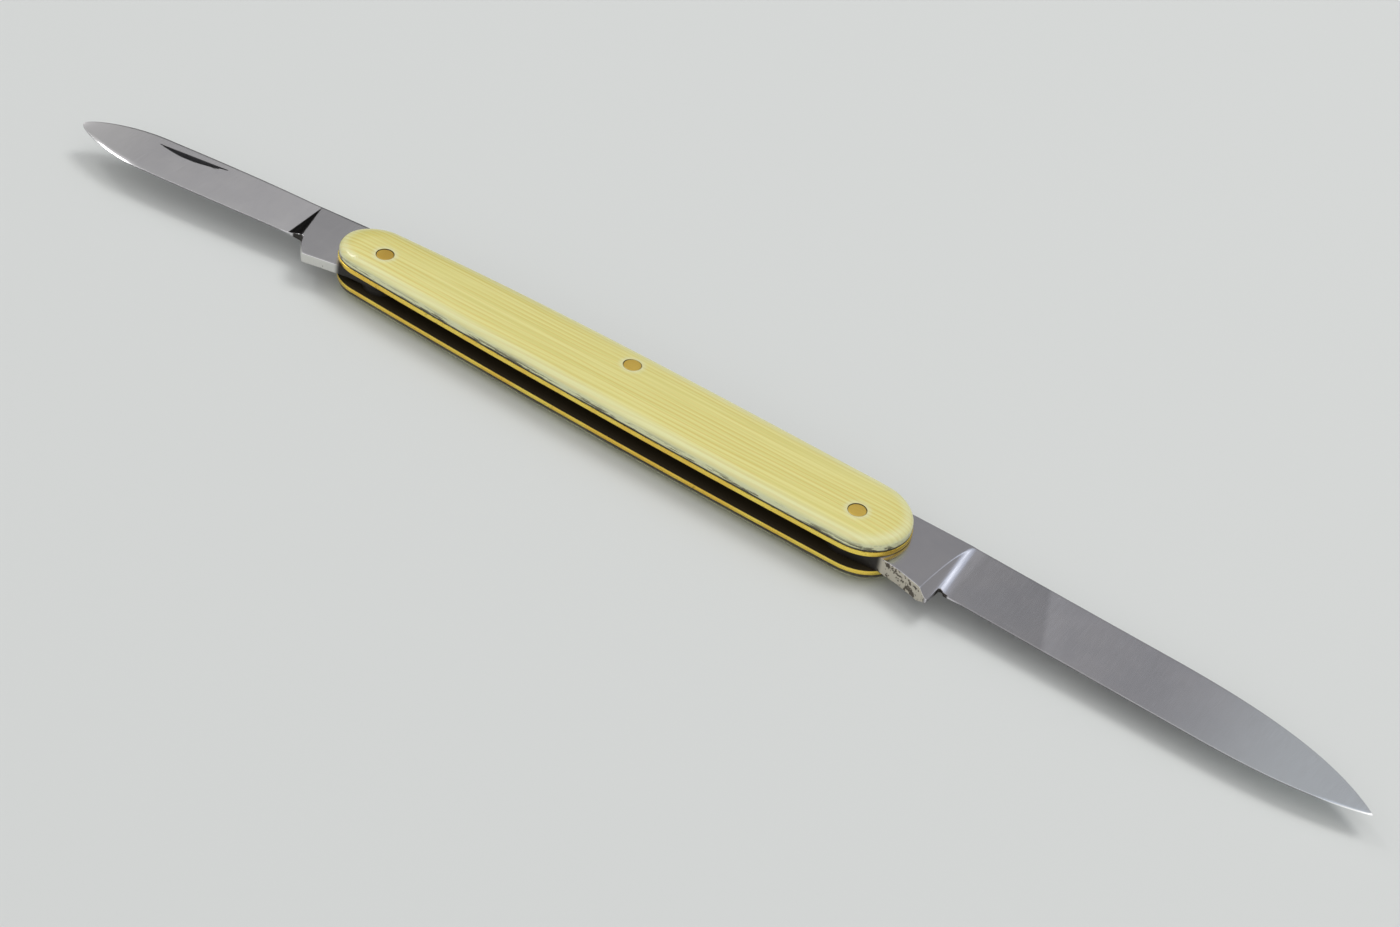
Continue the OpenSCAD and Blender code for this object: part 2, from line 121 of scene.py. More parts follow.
# %% Weld, turn the faces outwards and shade them smooth up to an angle
WELD = 0.0005
CREASE = math.radians(32)


def clean(piece):
    bm = bmesh.new()
    bm.from_mesh(piece.data)
    bmesh.ops.remove_doubles(bm, verts=bm.verts, dist=WELD * MM)
    bmesh.ops.dissolve_degenerate(bm, edges=bm.edges, dist=WELD * MM / 4)
    bmesh.ops.recalc_face_normals(bm, faces=bm.faces)
    for face in bm.faces:
        face.smooth = True
    for edge in bm.edges:
        edge.smooth = len(edge.link_faces) == 2 and edge.calc_face_angle() < CREASE
    bm.to_mesh(piece.data)
    bm.free()
    return piece


print(f"points within {WELD} mm are welded, edges over {math.degrees(CREASE):.0f} degrees stay sharp")

# %% Cut one piece with another, which is then thrown away
def cut(piece, tool):
    modifier = piece.modifiers.new("cut", "BOOLEAN")
    modifier.operation = "DIFFERENCE"
    modifier.solver = "EXACT"
    modifier.material_mode = "TRANSFER"
    modifier.object = tool
    shaped = piece.evaluated_get(bpy.context.evaluated_depsgraph_get())
    mesh = bpy.data.meshes.new_from_object(shaped)
    old = piece.data
    piece.modifiers.clear()
    piece.data = mesh
    mesh.name = piece.name
    bpy.data.meshes.remove(old)
    bpy.data.objects.remove(tool)


# %% A round bar between two heights, with its axis along Z
BAR_SIDES = 96


def bar(name, centre, radius, low, high, sides=BAR_SIDES):
    turn = np.linspace(0, 2 * math.pi, sides, endpoint=False)
    ring = np.stack([centre[0] + radius * np.cos(turn), centre[1] + radius * np.sin(turn)], 1)
    points = [(x, y, z) for z in (low, high) for x, y in ring]
    caps = [tuple(range(sides))[::-1], tuple(range(sides, 2 * sides))]
    return mesh_piece(name, points, tube_faces(2, sides) + caps)


out_of_round = PIN_R * (1 - math.cos(math.pi / BAR_SIDES))
print(f"a bar as thick as a pin is {out_of_round:.4f} mm off a true round")

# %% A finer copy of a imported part, with its edges softened
FLAT_ANGLE, STEEP_ANGLE = math.radians(0.5), math.radians(50)


def softened(name, node, width):
    bm = bmesh.new()
    bm.from_mesh(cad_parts[node].data)
    bmesh.ops.remove_doubles(bm, verts=bm.verts, dist=WELD * MM)
    bmesh.ops.dissolve_limit(bm, angle_limit=FLAT_ANGLE, verts=bm.verts, edges=bm.edges)
    steep = [e for e in bm.edges if len(e.link_faces) == 2 and e.calc_face_angle() > STEEP_ANGLE]
    bmesh.ops.bevel(bm, geom=steep, offset=width * MM, segments=2, profile=0.5, affect="EDGES",
                    clamp_overlap=True)
    mesh = bpy.data.meshes.new(name)
    bm.to_mesh(mesh)
    bm.free()
    return clean(add_object(name, mesh))


print(f"edges steeper than {math.degrees(STEEP_ANGLE):.0f} degrees get a bevel")

# %% Give a piece its material and its body, and hide the part that it stands for
def dress(piece, material, body, slot, *nodes):
    if not piece.data.materials:
        piece.data.materials.append(material)
    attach(piece, body)
    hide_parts(*nodes)
    print(f"{piece.name}: {len(piece.data.vertices)} points, {len(piece.data.polygons)} faces")


# %% [markdown]
# ## Helpers for materials
#
# A finish is a small net of nodes. These helpers keep each finish short to write: one adds a node and
# wires its inputs, and others do sums, blends and masks. Positions are taken in millimetres in the
# piece's own space, so that a pattern keeps its real scale and moves with its piece. A ramp is a mask
# that runs smoothly from one value to another between two limits.

# %% A short way to write nodes
class Net:
    def __init__(self, tree):
        self.tree = tree

    def node(self, kind, values=(), **settings):
        made = self.tree.nodes.new(kind)
        for key, value in settings.items():
            setattr(made, key, value)
        for key, value in dict(values).items():
            self.feed(made.inputs[key], value)
        return made

    def feed(self, socket, value):
        if isinstance(value, bpy.types.NodeSocket):
            self.tree.links.new(value, socket)
        else:
            socket.default_value = value

    def calc(self, operation, a, b=0.0, c=0.0):
        return self.node("ShaderNodeMath", {0: a, 1: b, 2: c}, operation=operation).outputs[0]

    def product(self, first, *others):
        for other in others:
            first = self.calc("MULTIPLY", first, other)
        return first

    def ramp(self, value, low, high, to_low=0.0, to_high=1.0):
        limits = {"From Min": low, "From Max": high, "To Min": to_low, "To Max": to_high}
        made = self.node("ShaderNodeMapRange", {"Value": value, **limits},
                         interpolation_type="SMOOTHSTEP")
        return made.outputs["Result"]

    def mix(self, mask, a, b, blend="MIX"):
        made = self.node("ShaderNodeMix", data_type="RGBA", blend_type=blend)
        for socket, value in ((0, mask), (6, a), (7, b)):
            self.feed(made.inputs[socket], value)
        return made.outputs[2]

    def noise(self, vector, scale, detail=3.0, rough=0.5):
        values = {"Vector": vector, "Scale": scale, "Detail": detail, "Roughness": rough}
        return self.node("ShaderNodeTexNoise", values).outputs["Fac"]

    def vector(self, operation, a, b, socket="Vector"):
        return self.node("ShaderNodeVectorMath", {0: a, 1: b}, operation=operation).outputs[socket]

    def stretch(self, vector, x, y, z):
        return self.vector("MULTIPLY", vector, (x, y, z))

    def spin(self, vector, angle):
        values = {"Vector": vector, "Angle": angle}
        return self.node("ShaderNodeVectorRotate", values, rotation_type="Z_AXIS").outputs["Vector"]

    def parts(self, vector):
        return self.node("ShaderNodeSeparateXYZ", {0: vector}).outputs[:]

    def place(self):
        return self.stretch(self.node("ShaderNodeTexCoord").outputs["Object"], 1 / MM, 1 / MM, 1 / MM)

    def facing(self):
        return self.parts(self.node("ShaderNodeTexCoord").outputs["Normal"])

    def away(self, place, x, y):
        return self.vector("DISTANCE", self.stretch(place, 1, 1, 0), (x, y, 0), "Value")


# %% Colours as they look, and the start and the end of a material
def colour(red, green, blue):
    """An sRGB colour of 0 to 255, as the linear colour that nodes take."""
    channel = [(v / 255 / 12.92) if v <= 10 else ((v / 255 + 0.055) / 1.055) ** 2.4
               for v in (red, green, blue)]
    return (*channel, 1.0)


def new_material(name):
    material = bpy.data.materials.new(name)
    material.use_nodes = True
    return material, Net(material.node_tree), material.node_tree.nodes["Principled BSDF"]


def fill(net, shader, values):
    for label, value in values.items():
        net.feed(shader.inputs[label], value)


def bump(net, height, strength, distance):
    made = net.node("ShaderNodeBump", {"Height": height, "Strength": strength, "Distance": distance})
    return made.outputs["Normal"]


print(f"a grey of 128 is {colour(128, 128, 128)[0]:.3f} in linear light")

# %% Start and end a node group
def new_group(name, inputs, outputs):
    tree = bpy.data.node_groups.new(name, "ShaderNodeTree")
    kinds = {"vector": "NodeSocketVector", "value": "NodeSocketFloat", "colour": "NodeSocketColor"}
    for label, kind, default in inputs:
        socket = tree.interface.new_socket(label, in_out="INPUT", socket_type=kinds[kind])
        if default is not None:
            socket.default_value = default
    for label, kind in outputs:
        tree.interface.new_socket(label, in_out="OUTPUT", socket_type=kinds[kind])
    net = Net(tree)
    return tree, net, net.node("NodeGroupInput").outputs, net.node("NodeGroupOutput").inputs


def use_group(net, tree, **values):
    made = net.node("ShaderNodeGroup", node_tree=tree)
    for label, value in values.items():
        net.feed(made.inputs[label], value)
    return made.outputs


# %% [markdown]
# ## Shared effects
#
# Three effects show on more than one finish: blotches of old dirt, fine polishing lines left by the
# buff, and thin stray scratches. Each is a node group with its own inputs, so that every material can
# place it at its own scale and strength.

# %% Blotches of dirt
dirt_group, net, given, out = new_group(
    "dirt blotches",
    [("Place", "vector", None), ("Scale", "value", 1.0), ("Cover", "value", 0.5),
     ("Softness", "value", 0.06)],
    [("Mask", "value")])
coarse = net.noise(given["Place"], given["Scale"], 5.0, 0.62)
fine = net.noise(given["Place"], net.product(given["Scale"], 5.0), 3.0, 0.6)
blend = net.calc("ADD", net.product(coarse, 0.75), net.product(fine, 0.25))
edge = net.calc("SUBTRACT", 0.72, net.product(given["Cover"], 0.45))
net.feed(out["Mask"], net.ramp(blend, edge, net.calc("ADD", edge, given["Softness"])))


def blotches(net, place, scale, cover, softness):
    return use_group(net, dirt_group, Place=place, Scale=scale, Cover=cover, Softness=softness)["Mask"]


print("group", dirt_group.name)

# %% Fine lines from the polishing wheel, which run across the stretched direction
polish_group, net, given, out = new_group(
    "polishing lines",
    [("Place", "vector", None), ("Stretch", "vector", (9.0, 0.4, 0.4))],
    [("Lines", "value"), ("Cloud", "value")])
drawn = net.vector("MULTIPLY", given["Place"], given["Stretch"])
net.feed(out["Lines"], net.noise(drawn, 1.0, 3.0, 0.7))
net.feed(out["Cloud"], net.noise(given["Place"], 0.16, 4.0, 0.55))
print("group", polish_group.name)

# %% Stray scratches, which are the thin walls between stretched cells
scratch_group, net, given, out = new_group(
    "stray scratches",
    [("Place", "vector", None), ("Turn", "value", 0.3), ("Width", "value", 0.02)],
    [("Mask", "value")])
spun = net.spin(given["Place"], given["Turn"])
bent = net.vector("ADD", net.stretch(spun, 0.09, 0.55, 0.55), net.stretch(spun, 0.002, 0.01, 0.01))
walls = net.node("ShaderNodeTexVoronoi", {"Vector": bent, "Scale": 1.0}, feature="DISTANCE_TO_EDGE")
line = net.ramp(walls.outputs["Distance"], 0.0, given["Width"], 1.0, 0.0)
gaps = net.ramp(net.noise(given["Place"], 0.35, 2.0, 0.5), 0.52, 0.66)
net.feed(out["Mask"], net.product(line, gaps))


def scratches(net, place, turn, width):
    return use_group(net, scratch_group, Place=place, Turn=turn, Width=width)["Mask"]


print("group", scratch_group.name)

# %% [markdown]
# ## The celluloid of the scales
#
# The scales are celluloid made to look like ivory: a yellow sheet pressed from thin layers, whose
# edges show as fine wavy lines along the handle. It is a little translucent and turns paler round the
# pins, and the rounded edge is painted paler for the glow of light through the thin celluloid and the
# sheen on it. Dirt has gathered along the lower front edge. The depth under the crown, the highest
# line of the scale, tells the shader where the rounding is, so no painted map is needed. One cell each
# makes the grain, the painted pale rims with the rings round the pins, and the dirt, and a last one
# joins them.

# %% Grain of the celluloid
GRAIN_PITCH = 0.66
GRAIN_TURN = math.radians(-0.9)
GRAIN_WANDER = 1.6


def celluloid_grain(net, place):
    turned = net.spin(place, GRAIN_TURN)
    wander = net.noise(net.stretch(turned, 0.035, 0.25, 0.25), 1.0, 2.0, 0.5)
    across = net.calc("ADD", net.parts(turned)[1], net.product(wander, GRAIN_WANDER))
    wave = net.calc("SINE", net.product(across, 2 * math.pi / GRAIN_PITCH))
    streaks = net.noise(net.stretch(turned, 0.03, 2.6, 0.6), 1.0, 3.0, 0.6)
    strength = net.noise(net.stretch(turned, 0.05, 0.35, 0.35), 1.0, 2.0, 0.5)
    lines = net.product(net.ramp(wave, -0.1, 1.0), net.ramp(strength, 0.25, 0.6))
    ivory = net.mix(net.ramp(streaks, 0.3, 0.72), colour(224, 217, 145), colour(212, 204, 126))
    return net.mix(net.product(lines, 0.62), ivory, colour(208, 187, 99))


print("grain lines", GRAIN_PITCH, "mm apart")

# %% Painted pale glow on the rounded rims, and a pale halo and a dark gap round each pin
RIM_START, RIM_FULL = (0.14, 0.4), (0.35, 1.1)
HALO_W = 0.9
GAP_START, GAP_END = 0.02, 0.12


def celluloid_rim_glow_and_pins(net, place, under_crown, ivory):
    # The rounded rim is painted paler, a painted glow and sheen of the thin celluloid.
    rim = net.calc("MAXIMUM", net.ramp(under_crown, *RIM_START, 0.0, 0.42),
                   net.ramp(under_crown, *RIM_FULL, 0.0, 0.85))
    ivory = net.mix(rim, ivory, colour(222, 226, 188))
    nearest = None
    for pin in PINS.values():
        away = net.away(place, *pin)
        nearest = away if nearest is None else net.calc("MINIMUM", nearest, away)
    halo = net.ramp(nearest, PIN_R, PIN_R + HALO_W, 0.5, 0.0)
    ivory = net.mix(halo, ivory, colour(218, 220, 184))
    gap = net.ramp(nearest, PIN_R + GAP_START, PIN_R + GAP_END, 0.9, 0.0)
    return net.mix(gap, ivory, colour(70, 58, 34))


print("pale from", RIM_START[0], "mm under the crown down to", RIM_FULL[1], "mm")

# %% Dirt along the front, a darker foot, and a few specks
SMEAR_DEPTH = (0.7, 1.5)
FOOT_DEPTH, UNDER_FOOT_DEPTH = (1.5, 1.7), (0.8, 1.6)


def celluloid_dirt(net, place, under_crown, ivory):
    front = net.ramp(net.facing()[1], -0.05, -0.5)
    smears = blotches(net, net.stretch(place, 0.2, 1.2, 2.6), 0.9, 0.52, 0.06)
    grime = net.product(front, net.ramp(under_crown, *SMEAR_DEPTH), smears)
    ivory = net.mix(net.product(grime, 0.85), ivory, colour(62, 54, 34))
    # The foot of each scale, and the low rim of the lower scale below the middle of the handle, is
    # made darker next to its liner.
    middle_z = HANDLE_T / 2
    below = net.ramp(net.parts(place)[2], middle_z - 0.5, middle_z, 1.0, 0.0)
    foot = net.calc("MAXIMUM", net.ramp(under_crown, *FOOT_DEPTH),
                    net.product(net.ramp(under_crown, *UNDER_FOOT_DEPTH), below))
    ivory = net.mix(net.product(foot, 0.95), ivory, colour(36, 29, 17))
    specks = blotches(net, place, 1.1, 0.02, 0.03)
    return net.mix(net.product(specks, 0.6), ivory, colour(120, 92, 50))


print("smears start", SMEAR_DEPTH[0], "mm under the crown, on the front only")

# %% Celluloid from its three effects
def celluloid():
    material, net, shader = new_material("scale_celluloid")
    place = net.place()
    from_middle = net.calc("ABSOLUTE", net.calc("SUBTRACT", net.parts(place)[2], HANDLE_T / 2))
    under_crown = net.calc("SUBTRACT", HANDLE_T / 2, from_middle)
    ivory = celluloid_grain(net, place)
    ivory = celluloid_rim_glow_and_pins(net, place, under_crown, ivory)
    ivory = celluloid_dirt(net, place, under_crown, ivory)
    rough = net.ramp(net.noise(place, 0.8, 4.0, 0.6), 0.3, 0.7, 0.09, 0.15)
    marks = scratches(net, place, 0.2, 0.015)
    height = net.calc("SUBTRACT", net.noise(place, 0.5, 2.0, 0.5), net.product(marks, 0.12))
    fill(net, shader, {"Base Color": ivory, "Roughness": rough, "IOR": 1.5,
                       "Subsurface Weight": 0.12, "Subsurface Radius": (0.6, 0.5, 0.25),
                       "Subsurface Scale": MM, "Normal": bump(net, height, 0.12, 0.1 * MM)})
    return material


celluloid_material = celluloid()
print("material", celluloid_material.name)

# %% [markdown]
# ## Brass of the liners and the pins
#
# Rolled brass is bright where hands rub it and goes brown where they can't reach. The liners show
# their cut edges, which are bright, and their inner faces, which are nearly black with old oil. The
# pins were filed flush with the scales, so their heads are duller and browner.

# %% Brass
def brass(name, bright, dull, shine, metal, grimy):
    material, net, shader = new_material(name)
    place = net.place()
    lines = use_group(net, polish_group, Place=place, Stretch=(0.8, 7.0, 14.0))
    tint = net.mix(net.ramp(lines["Cloud"], 0.35, 0.65), bright, dull)
    tint = net.mix(net.ramp(lines["Lines"], 0.45, 0.8, 0.0, 0.5), tint, dull)
    stains = blotches(net, place, 0.7, 0.3, 0.12)
    tint = net.mix(net.product(stains, 0.5), tint, colour(120, 96, 44))
    rough = net.ramp(lines["Lines"], 0.3, 0.7, shine, shine + 0.14)
    if grimy:
        above = net.ramp(net.parts(place)[2], SLOT_Z - 0.2, SLOT_Z + 0.2, 1.0, -1.0)
        inside = net.ramp(net.product(net.facing()[2], above), 0.6, 0.95)
        tint = net.mix(inside, tint, colour(48, 39, 20))
        rough = net.mix(inside, rough, (0.6, 0.6, 0.6, 1.0))
        metal = net.ramp(inside, 0.0, 1.0, metal, 0.1)
    fill(net, shader, {"Base Color": tint, "Roughness": rough, "Metallic": metal,
                       "Normal": bump(net, lines["Lines"], 0.25, 0.03 * MM)})
    return material


liner_material = brass("liner_brass", colour(255, 230, 108), colour(246, 206, 88), 0.24, 1.0, True)
pin_material = brass("pin_brass", colour(226, 192, 90), colour(208, 170, 74), 0.36, 0.6, False)
print("materials", liner_material.name, pin_material.name)

# %% [markdown]
# ## Steel of the blades and the spring
#
# The blades are carbon steel, glazed on a fine wheel that leaves lines across the blade. Part of the
# room's reflection is painted into their colour: the flat is painted darker near the plunge, with a
# pale band where that ends, and tinted at the tip. The kick, the tang's front side, is left as forged
# and holds brown stains. Old oil stays where the handle hides the tang, and painted shade darkens the
# notch beside the kick. The small plunge gets a painted dark reflection, the honed bevels a painted
# white glint, and the front edges are worn. Each of these is a mask made from the place on the blade
# or from the way that the surface faces, so it moves with the blade and needs no painted map. The
# spring is darker, since only its back is ever wiped. Places along a blade are given in mm from the
# middle of the handle, and out is that distance.

# %% Painted reflections along a blade
TONE_LEAN = 0.45
TONE_START, TONE_BAND, TONE_END = (48.5, 49.5), (60.2, 61.2), (61.6, 64.5)
BAND_GAIN = 0.35


def painted_blade_reflections(net, base, out, y, blade):
    """Painted reflections of the room: a darker flat next to the plunge, a slanted pale band at its
    end, and the tint of the tip.
    """
    slant = net.calc("MULTIPLY_ADD", y, TONE_LEAN, out)
    pale = 1 + BAND_GAIN * (1 - blade["step"])
    tone = net.calc("MINIMUM", net.ramp(slant, *TONE_BAND, blade["step"], pale),
                    net.ramp(slant, *TONE_END, pale, 1.0))
    tone = net.calc("MAXIMUM", tone, net.ramp(out, *TONE_START, 1.0, blade["step"]))
    base = net.mix(net.ramp(out, *blade["glow"]), base, blade["tip"])
    return net.node("ShaderNodeVectorMath", {0: base, "Scale": tone}, operation="SCALE").outputs[0]


print("the darker flat ends", TONE_BAND[0], "mm from the middle of the handle")

# %% The forged kick, the old oil round the pin, and painted shade in the notch beside the kick
OIL_END = (5.5, 6.3)
NOTCH_LOW = (-1.4, -1.55)


def forged_kick(net, place, blade):
    stains = blotches(net, place, 0.9, blade["stains"], 0.03)
    return net.mix(net.product(stains, 0.9), blade["forged"], colour(56, 45, 32))


def oil_and_notch_shade_mask(net, place, out, y, side, blade):
    start, end = blade["notch"]
    # The notch beside the kick is painted dark, a painted shade of its wall.
    notch = net.product(net.ramp(out, start - 0.1, start), net.ramp(out, end, end + 0.3, 1, 0))
    low = net.calc("MAXIMUM", side, net.ramp(y, *NOTCH_LOW))
    tang = net.ramp(net.away(place, blade["pivot"], 0), *OIL_END, 1.0, 0.0)
    return net.calc("MAXIMUM", tang, net.product(notch, low))


print("oil reaches", OIL_END[1], "mm from the pin")

# %% Where a plunge shows a painted dark reflection, a bevel a painted glint, and an edge is worn
WEDGE_END = (49.6, 50.0)
BELLY, BELLY_END = (70, 72), (-83.0, -82.6)
WORN_START, WORN_END = (49.5, 51), (95, 98)


def edge_masks(net, x, out):
    """Painted dark reflection in the small plunge, painted glint on bevels, worn front edges."""
    tilt, front, level = net.facing()
    painted_plunge_reflection = net.product(net.ramp(tilt, -0.13, -0.2), net.ramp(level, 0.6, 0.9),
                        net.ramp(out, *WEDGE_END, 0.9, 0.0))
    painted_bevel_glint = net.product(net.ramp(front, -0.18, -0.26), net.ramp(level, 0.6, 0.8),
                        net.ramp(x, *BELLY_END), net.ramp(out, *BELLY))
    worn = net.product(net.ramp(front, -0.2, -0.5), net.ramp(out, *WORN_START),
                       net.ramp(out, *WORN_END, 0.8, 0.0))
    return painted_plunge_reflection, painted_bevel_glint, worn


print("honed from", BELLY[0], "mm, worn from", WORN_START[0], "mm out")

# %% Steel from its masks
def steel(name, tint, shade, shine, stretch, blade=None):
    material, net, shader = new_material(name)
    place = net.place()
    lines = use_group(net, polish_group, Place=place, Stretch=stretch)
    base = net.mix(net.ramp(lines["Cloud"], 0.35, 0.65), tint, shade)
    marks = scratches(net, place, 0.5, 0.012)
    base = net.mix(net.product(marks, 0.12), base, colour(236, 236, 238))
    rough = net.ramp(lines["Lines"], 0.3, 0.7, shine - 0.03, shine + 0.05)
    front = net.facing()[1]
    if blade:
        x, y, _ = net.parts(place)
        out = net.calc("ABSOLUTE", x)
        base = painted_blade_reflections(net, base, out, y, blade)
        side = net.ramp(front, -0.35, -0.8)
        kick = net.product(side, net.ramp(out, *blade["kick"], 1.0, 0.0))
        base = net.mix(kick, base, forged_kick(net, place, blade))
        rough = net.mix(kick, rough, (0.5, 0.5, 0.5, 1.0))
        oil_and_notch_shade = oil_and_notch_shade_mask(net, place, out, y, side, blade)
        painted_plunge_reflection, painted_bevel_glint, worn = edge_masks(net, x, out)
        # Old oil near the pin darkens the steel, and so do painted shade in the notch and a painted
        # dark reflection in the small plunge.
        base = net.mix(net.calc("MAXIMUM", oil_and_notch_shade, painted_plunge_reflection), base, colour(30, 25, 18))
        # The honed bevels near the tips get a painted white glint.
        base = net.mix(painted_bevel_glint, base, colour(250, 250, 250))
        base = net.mix(worn, base, colour(112, 110, 112))
        rough = net.mix(oil_and_notch_shade, rough, (0.55, 0.55, 0.55, 1.0))
        metal = net.calc("SUBTRACT", 1.0, net.calc("MAXIMUM", net.product(kick, 0.75), oil_and_notch_shade))
    else:
        inside = net.ramp(front, -0.2, -0.7)
        base = net.mix(inside, base, colour(24, 20, 14))
        metal = net.ramp(inside, 0.0, 1.0, 1.0, 0.1)
    height = net.calc("ADD", lines["Lines"], net.product(marks, -0.5))
    fill(net, shader, {"Base Color": base, "Roughness": rough, "Metallic": metal,
                       "Normal": bump(net, height, 0.08, 0.02 * MM)})
    return material


CROSS_POLISH, LONG_POLISH = (9.0, 0.35, 0.35), (0.5, 0.5, 7.0)
# step, glow and tip set each blade's painted reflections: how dark the flat is, and where and how the
# tip is tinted.
large_steel = steel(
    "large_blade_steel", colour(211, 209, 212), colour(205, 204, 208), 0.2, CROSS_POLISH,
    {"pivot": LARGE_X, "kick": (47.0, 47.5), "notch": (47.6, 48.8), "stains": 0.52,
     "forged": colour(194, 188, 173), "step": 0.84, "glow": (72, 94), "tip": colour(248, 252, 255)})
small_steel = steel(
    "small_blade_steel", colour(212, 211, 212), colour(206, 205, 207), 0.22, CROSS_POLISH,
    {"pivot": SMALL_X, "kick": (46.0, 46.5), "notch": (47.0, 48.3), "stains": 0.2,
     "forged": colour(212, 212, 206), "step": 1.0, "glow": (70, 80), "tip": colour(220, 219, 219)})
spring_steel = steel("spring_steel", colour(150, 146, 140), colour(118, 112, 104), 0.32, LONG_POLISH)
print("materials", large_steel.name, small_steel.name, spring_steel.name)

# %% Old dirt for the walls of holes, and dull steel for the nail nicks
def old_dirt(name, dark, pale, metallic):
    material, net, shader = new_material(name)
    blotch = blotches(net, net.place(), 2.2, 0.5, 0.3)
    fill(net, shader, {"Base Color": net.mix(blotch, pale, dark), "Metallic": metallic,
                       "Roughness": net.ramp(blotch, 0.0, 1.0, 0.35, 0.6)})
    return material


hole_dirt = old_dirt("hole_dirt", colour(38, 30, 18), colour(60, 48, 28), 0.0)
nick_steel = old_dirt("nick_steel", colour(42, 42, 44), colour(96, 96, 98), 1.0)
print("materials", hole_dirt.name, nick_steel.name)

# %% [markdown]
# ## The outline of the handle
#
# Scales and liners share one outline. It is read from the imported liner: the points on its upper face
# that don't belong to a pin hole, in order round the middle. A smooth curve through them gives three
# times as many points, so the rounded ends look round from close by.

# %% Read and refine the outline
SAME_HEIGHT = 1e-6
HOLE_REACH = 1.2 * PIN_R


def outline_of(node):
    points = [v.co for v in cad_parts[node].data.vertices]
    top = max(p.z for p in points)
    flat = {(round(p.x / MM, 4), round(p.y / MM, 4)) for p in points if abs(p.z - top) < SAME_HEIGHT}
    rim = [p for p in flat if min(math.dist(p, pin) for pin in PINS.values()) > HOLE_REACH]
    centre = np.mean(rim, axis=0)
    rim.sort(key=lambda p: math.atan2(p[1] - centre[1], p[0] - centre[0]))
    return np.array(rim)


def refined(loop, parts):
    """Points on a smooth closed curve through the loop, with parts points for each stretch."""
    ahead = np.roll(loop, -1, axis=0)
    step = np.linalg.norm(ahead - loop, axis=1)[:, None]
    slope = (ahead - loop) / step
    step_back, slope_back = np.roll(step, 1, axis=0), np.roll(slope, 1, axis=0)
    tangent = (slope_back * step + slope * step_back) / (step + step_back)
    tangent_ahead = np.roll(tangent, -1, axis=0)
    rows = []
    for t in np.arange(parts) / parts:
        rows.append((2 * t**3 - 3 * t**2 + 1) * loop + (t**3 - 2 * t**2 + t) * step * tangent
                    + (3 * t**2 - 2 * t**3) * ahead + (t**3 - t**2) * step * tangent_ahead)
    return np.stack(rows, axis=1).reshape(-1, 2)


OUTLINE = refined(outline_of("mark_liner"), 3)
print("outline", len(OUTLINE), "points, from", OUTLINE.min(0).round(2), "to", OUTLINE.max(0).round(2))

# %% [markdown]
# ## The scales
#
# A scale is a plate with an upright edge, a rounded shoulder and a slightly domed face. It could be a
# bevelled slab, but a bevel keeps the face flat. Here it is a stack of rings instead: each ring is the
# outline, drawn in towards the middle line of the handle, at its own height. The land is the upright
# part of the edge, and the width and angle are those of the round shoulder above it. The upper scale
# has a high land, and the lower one is rounded from its foot, so it hides under its liner.

# %% Rings of a scale
MIDDLE_ENDS = np.array([[SMALL_X - 1.8, 0.95], [LARGE_X + 0.3, 1.3]])
LINER_PROUD = 0.1
FOOT_IN, FOOT_UP = 0.03, 0.04
CROWN = 0.35
DOME_REACH, CORE_REACH = 0.62, 0.8
SHOULDER_RINGS, DOME_RINGS = 10, 10
MARK_PROFILE = {"land": 0.7, "width": 1.0, "angle": math.radians(71)}
PILE_PROFILE = {"land": 0.13, "width": 2.1, "angle": math.radians(52)}
SCALE_T = HANDLE_T - MARK_FOOT


def towards_middle(points):
    along = MIDDLE_ENDS[1] - MIDDLE_ENDS[0]
    share = np.clip((points - MIDDLE_ENDS[0]) @ along / (along @ along), 0, 1)[:, None]
    return MIDDLE_ENDS[0] + share * along


def scale_rings(land, width, angle):
    """(inset, share of the way to the middle line, height) of each ring, from foot to crown."""
    rings = [(LINER_PROUD + FOOT_IN, 0.0, 0.0), (LINER_PROUD, 0.0, FOOT_UP),
             (LINER_PROUD, 0.0, land / 2)]
    rise = SCALE_T - land - CROWN
    for a in np.linspace(0, angle, SHOULDER_RINGS):
        rings.append((LINER_PROUD + width * (1 - math.cos(a)), 0.0, land + rise * math.sin(a)))
    inset, _, shoulder = rings[-1]
    for s in np.linspace(0, 1, DOME_RINGS + 1)[1:]:
        rings.append((inset, DOME_REACH * s, shoulder + (SCALE_T - shoulder) * (1 - (1 - s) ** 2)))
    rings.append((inset, CORE_REACH, SCALE_T))
    return rings


def scale_piece(name, foot, up, profile):
    core = towards_middle(OUTLINE)
    inward = core - OUTLINE
    inward /= np.linalg.norm(inward, axis=1)[:, None]
    count = len(OUTLINE)
    points = []
    for inset, share, height in scale_rings(**profile):
        ring = OUTLINE + inward * inset
        ring = ring + (core - ring) * share
        points += [(x, y, foot + up * height) for x, y in ring]
    return clean(mesh_piece(name, points, closed_tube(len(points) // count, count)))


print(len(scale_rings(**MARK_PROFILE)), "rings from the foot to the crown of a scale")

# %% Drill a hole for a pin, with old dirt on its wall
def drill(piece, pin, gap):
    tool = bar("drill", PINS[pin], PIN_R + gap, -1, HANDLE_T + 1)
    tool.data.materials.append(hole_dirt)
    cut(piece, clean(tool))


# %% Make both scales
HOLE_GAP = 0.035

for name, foot, up, profile in (("mark_scale", MARK_FOOT, 1, MARK_PROFILE),
                                ("pile_scale", PILE_TOP, -1, PILE_PROFILE)):
    scale = scale_piece(name + "_dressed", foot, up, profile)
    scale.data.materials.append(celluloid_material)
    for pin in PINS:
        drill(scale, pin, HOLE_GAP)
    dress(clean(scale), celluloid_material, "handle", "scale_celluloid", name)

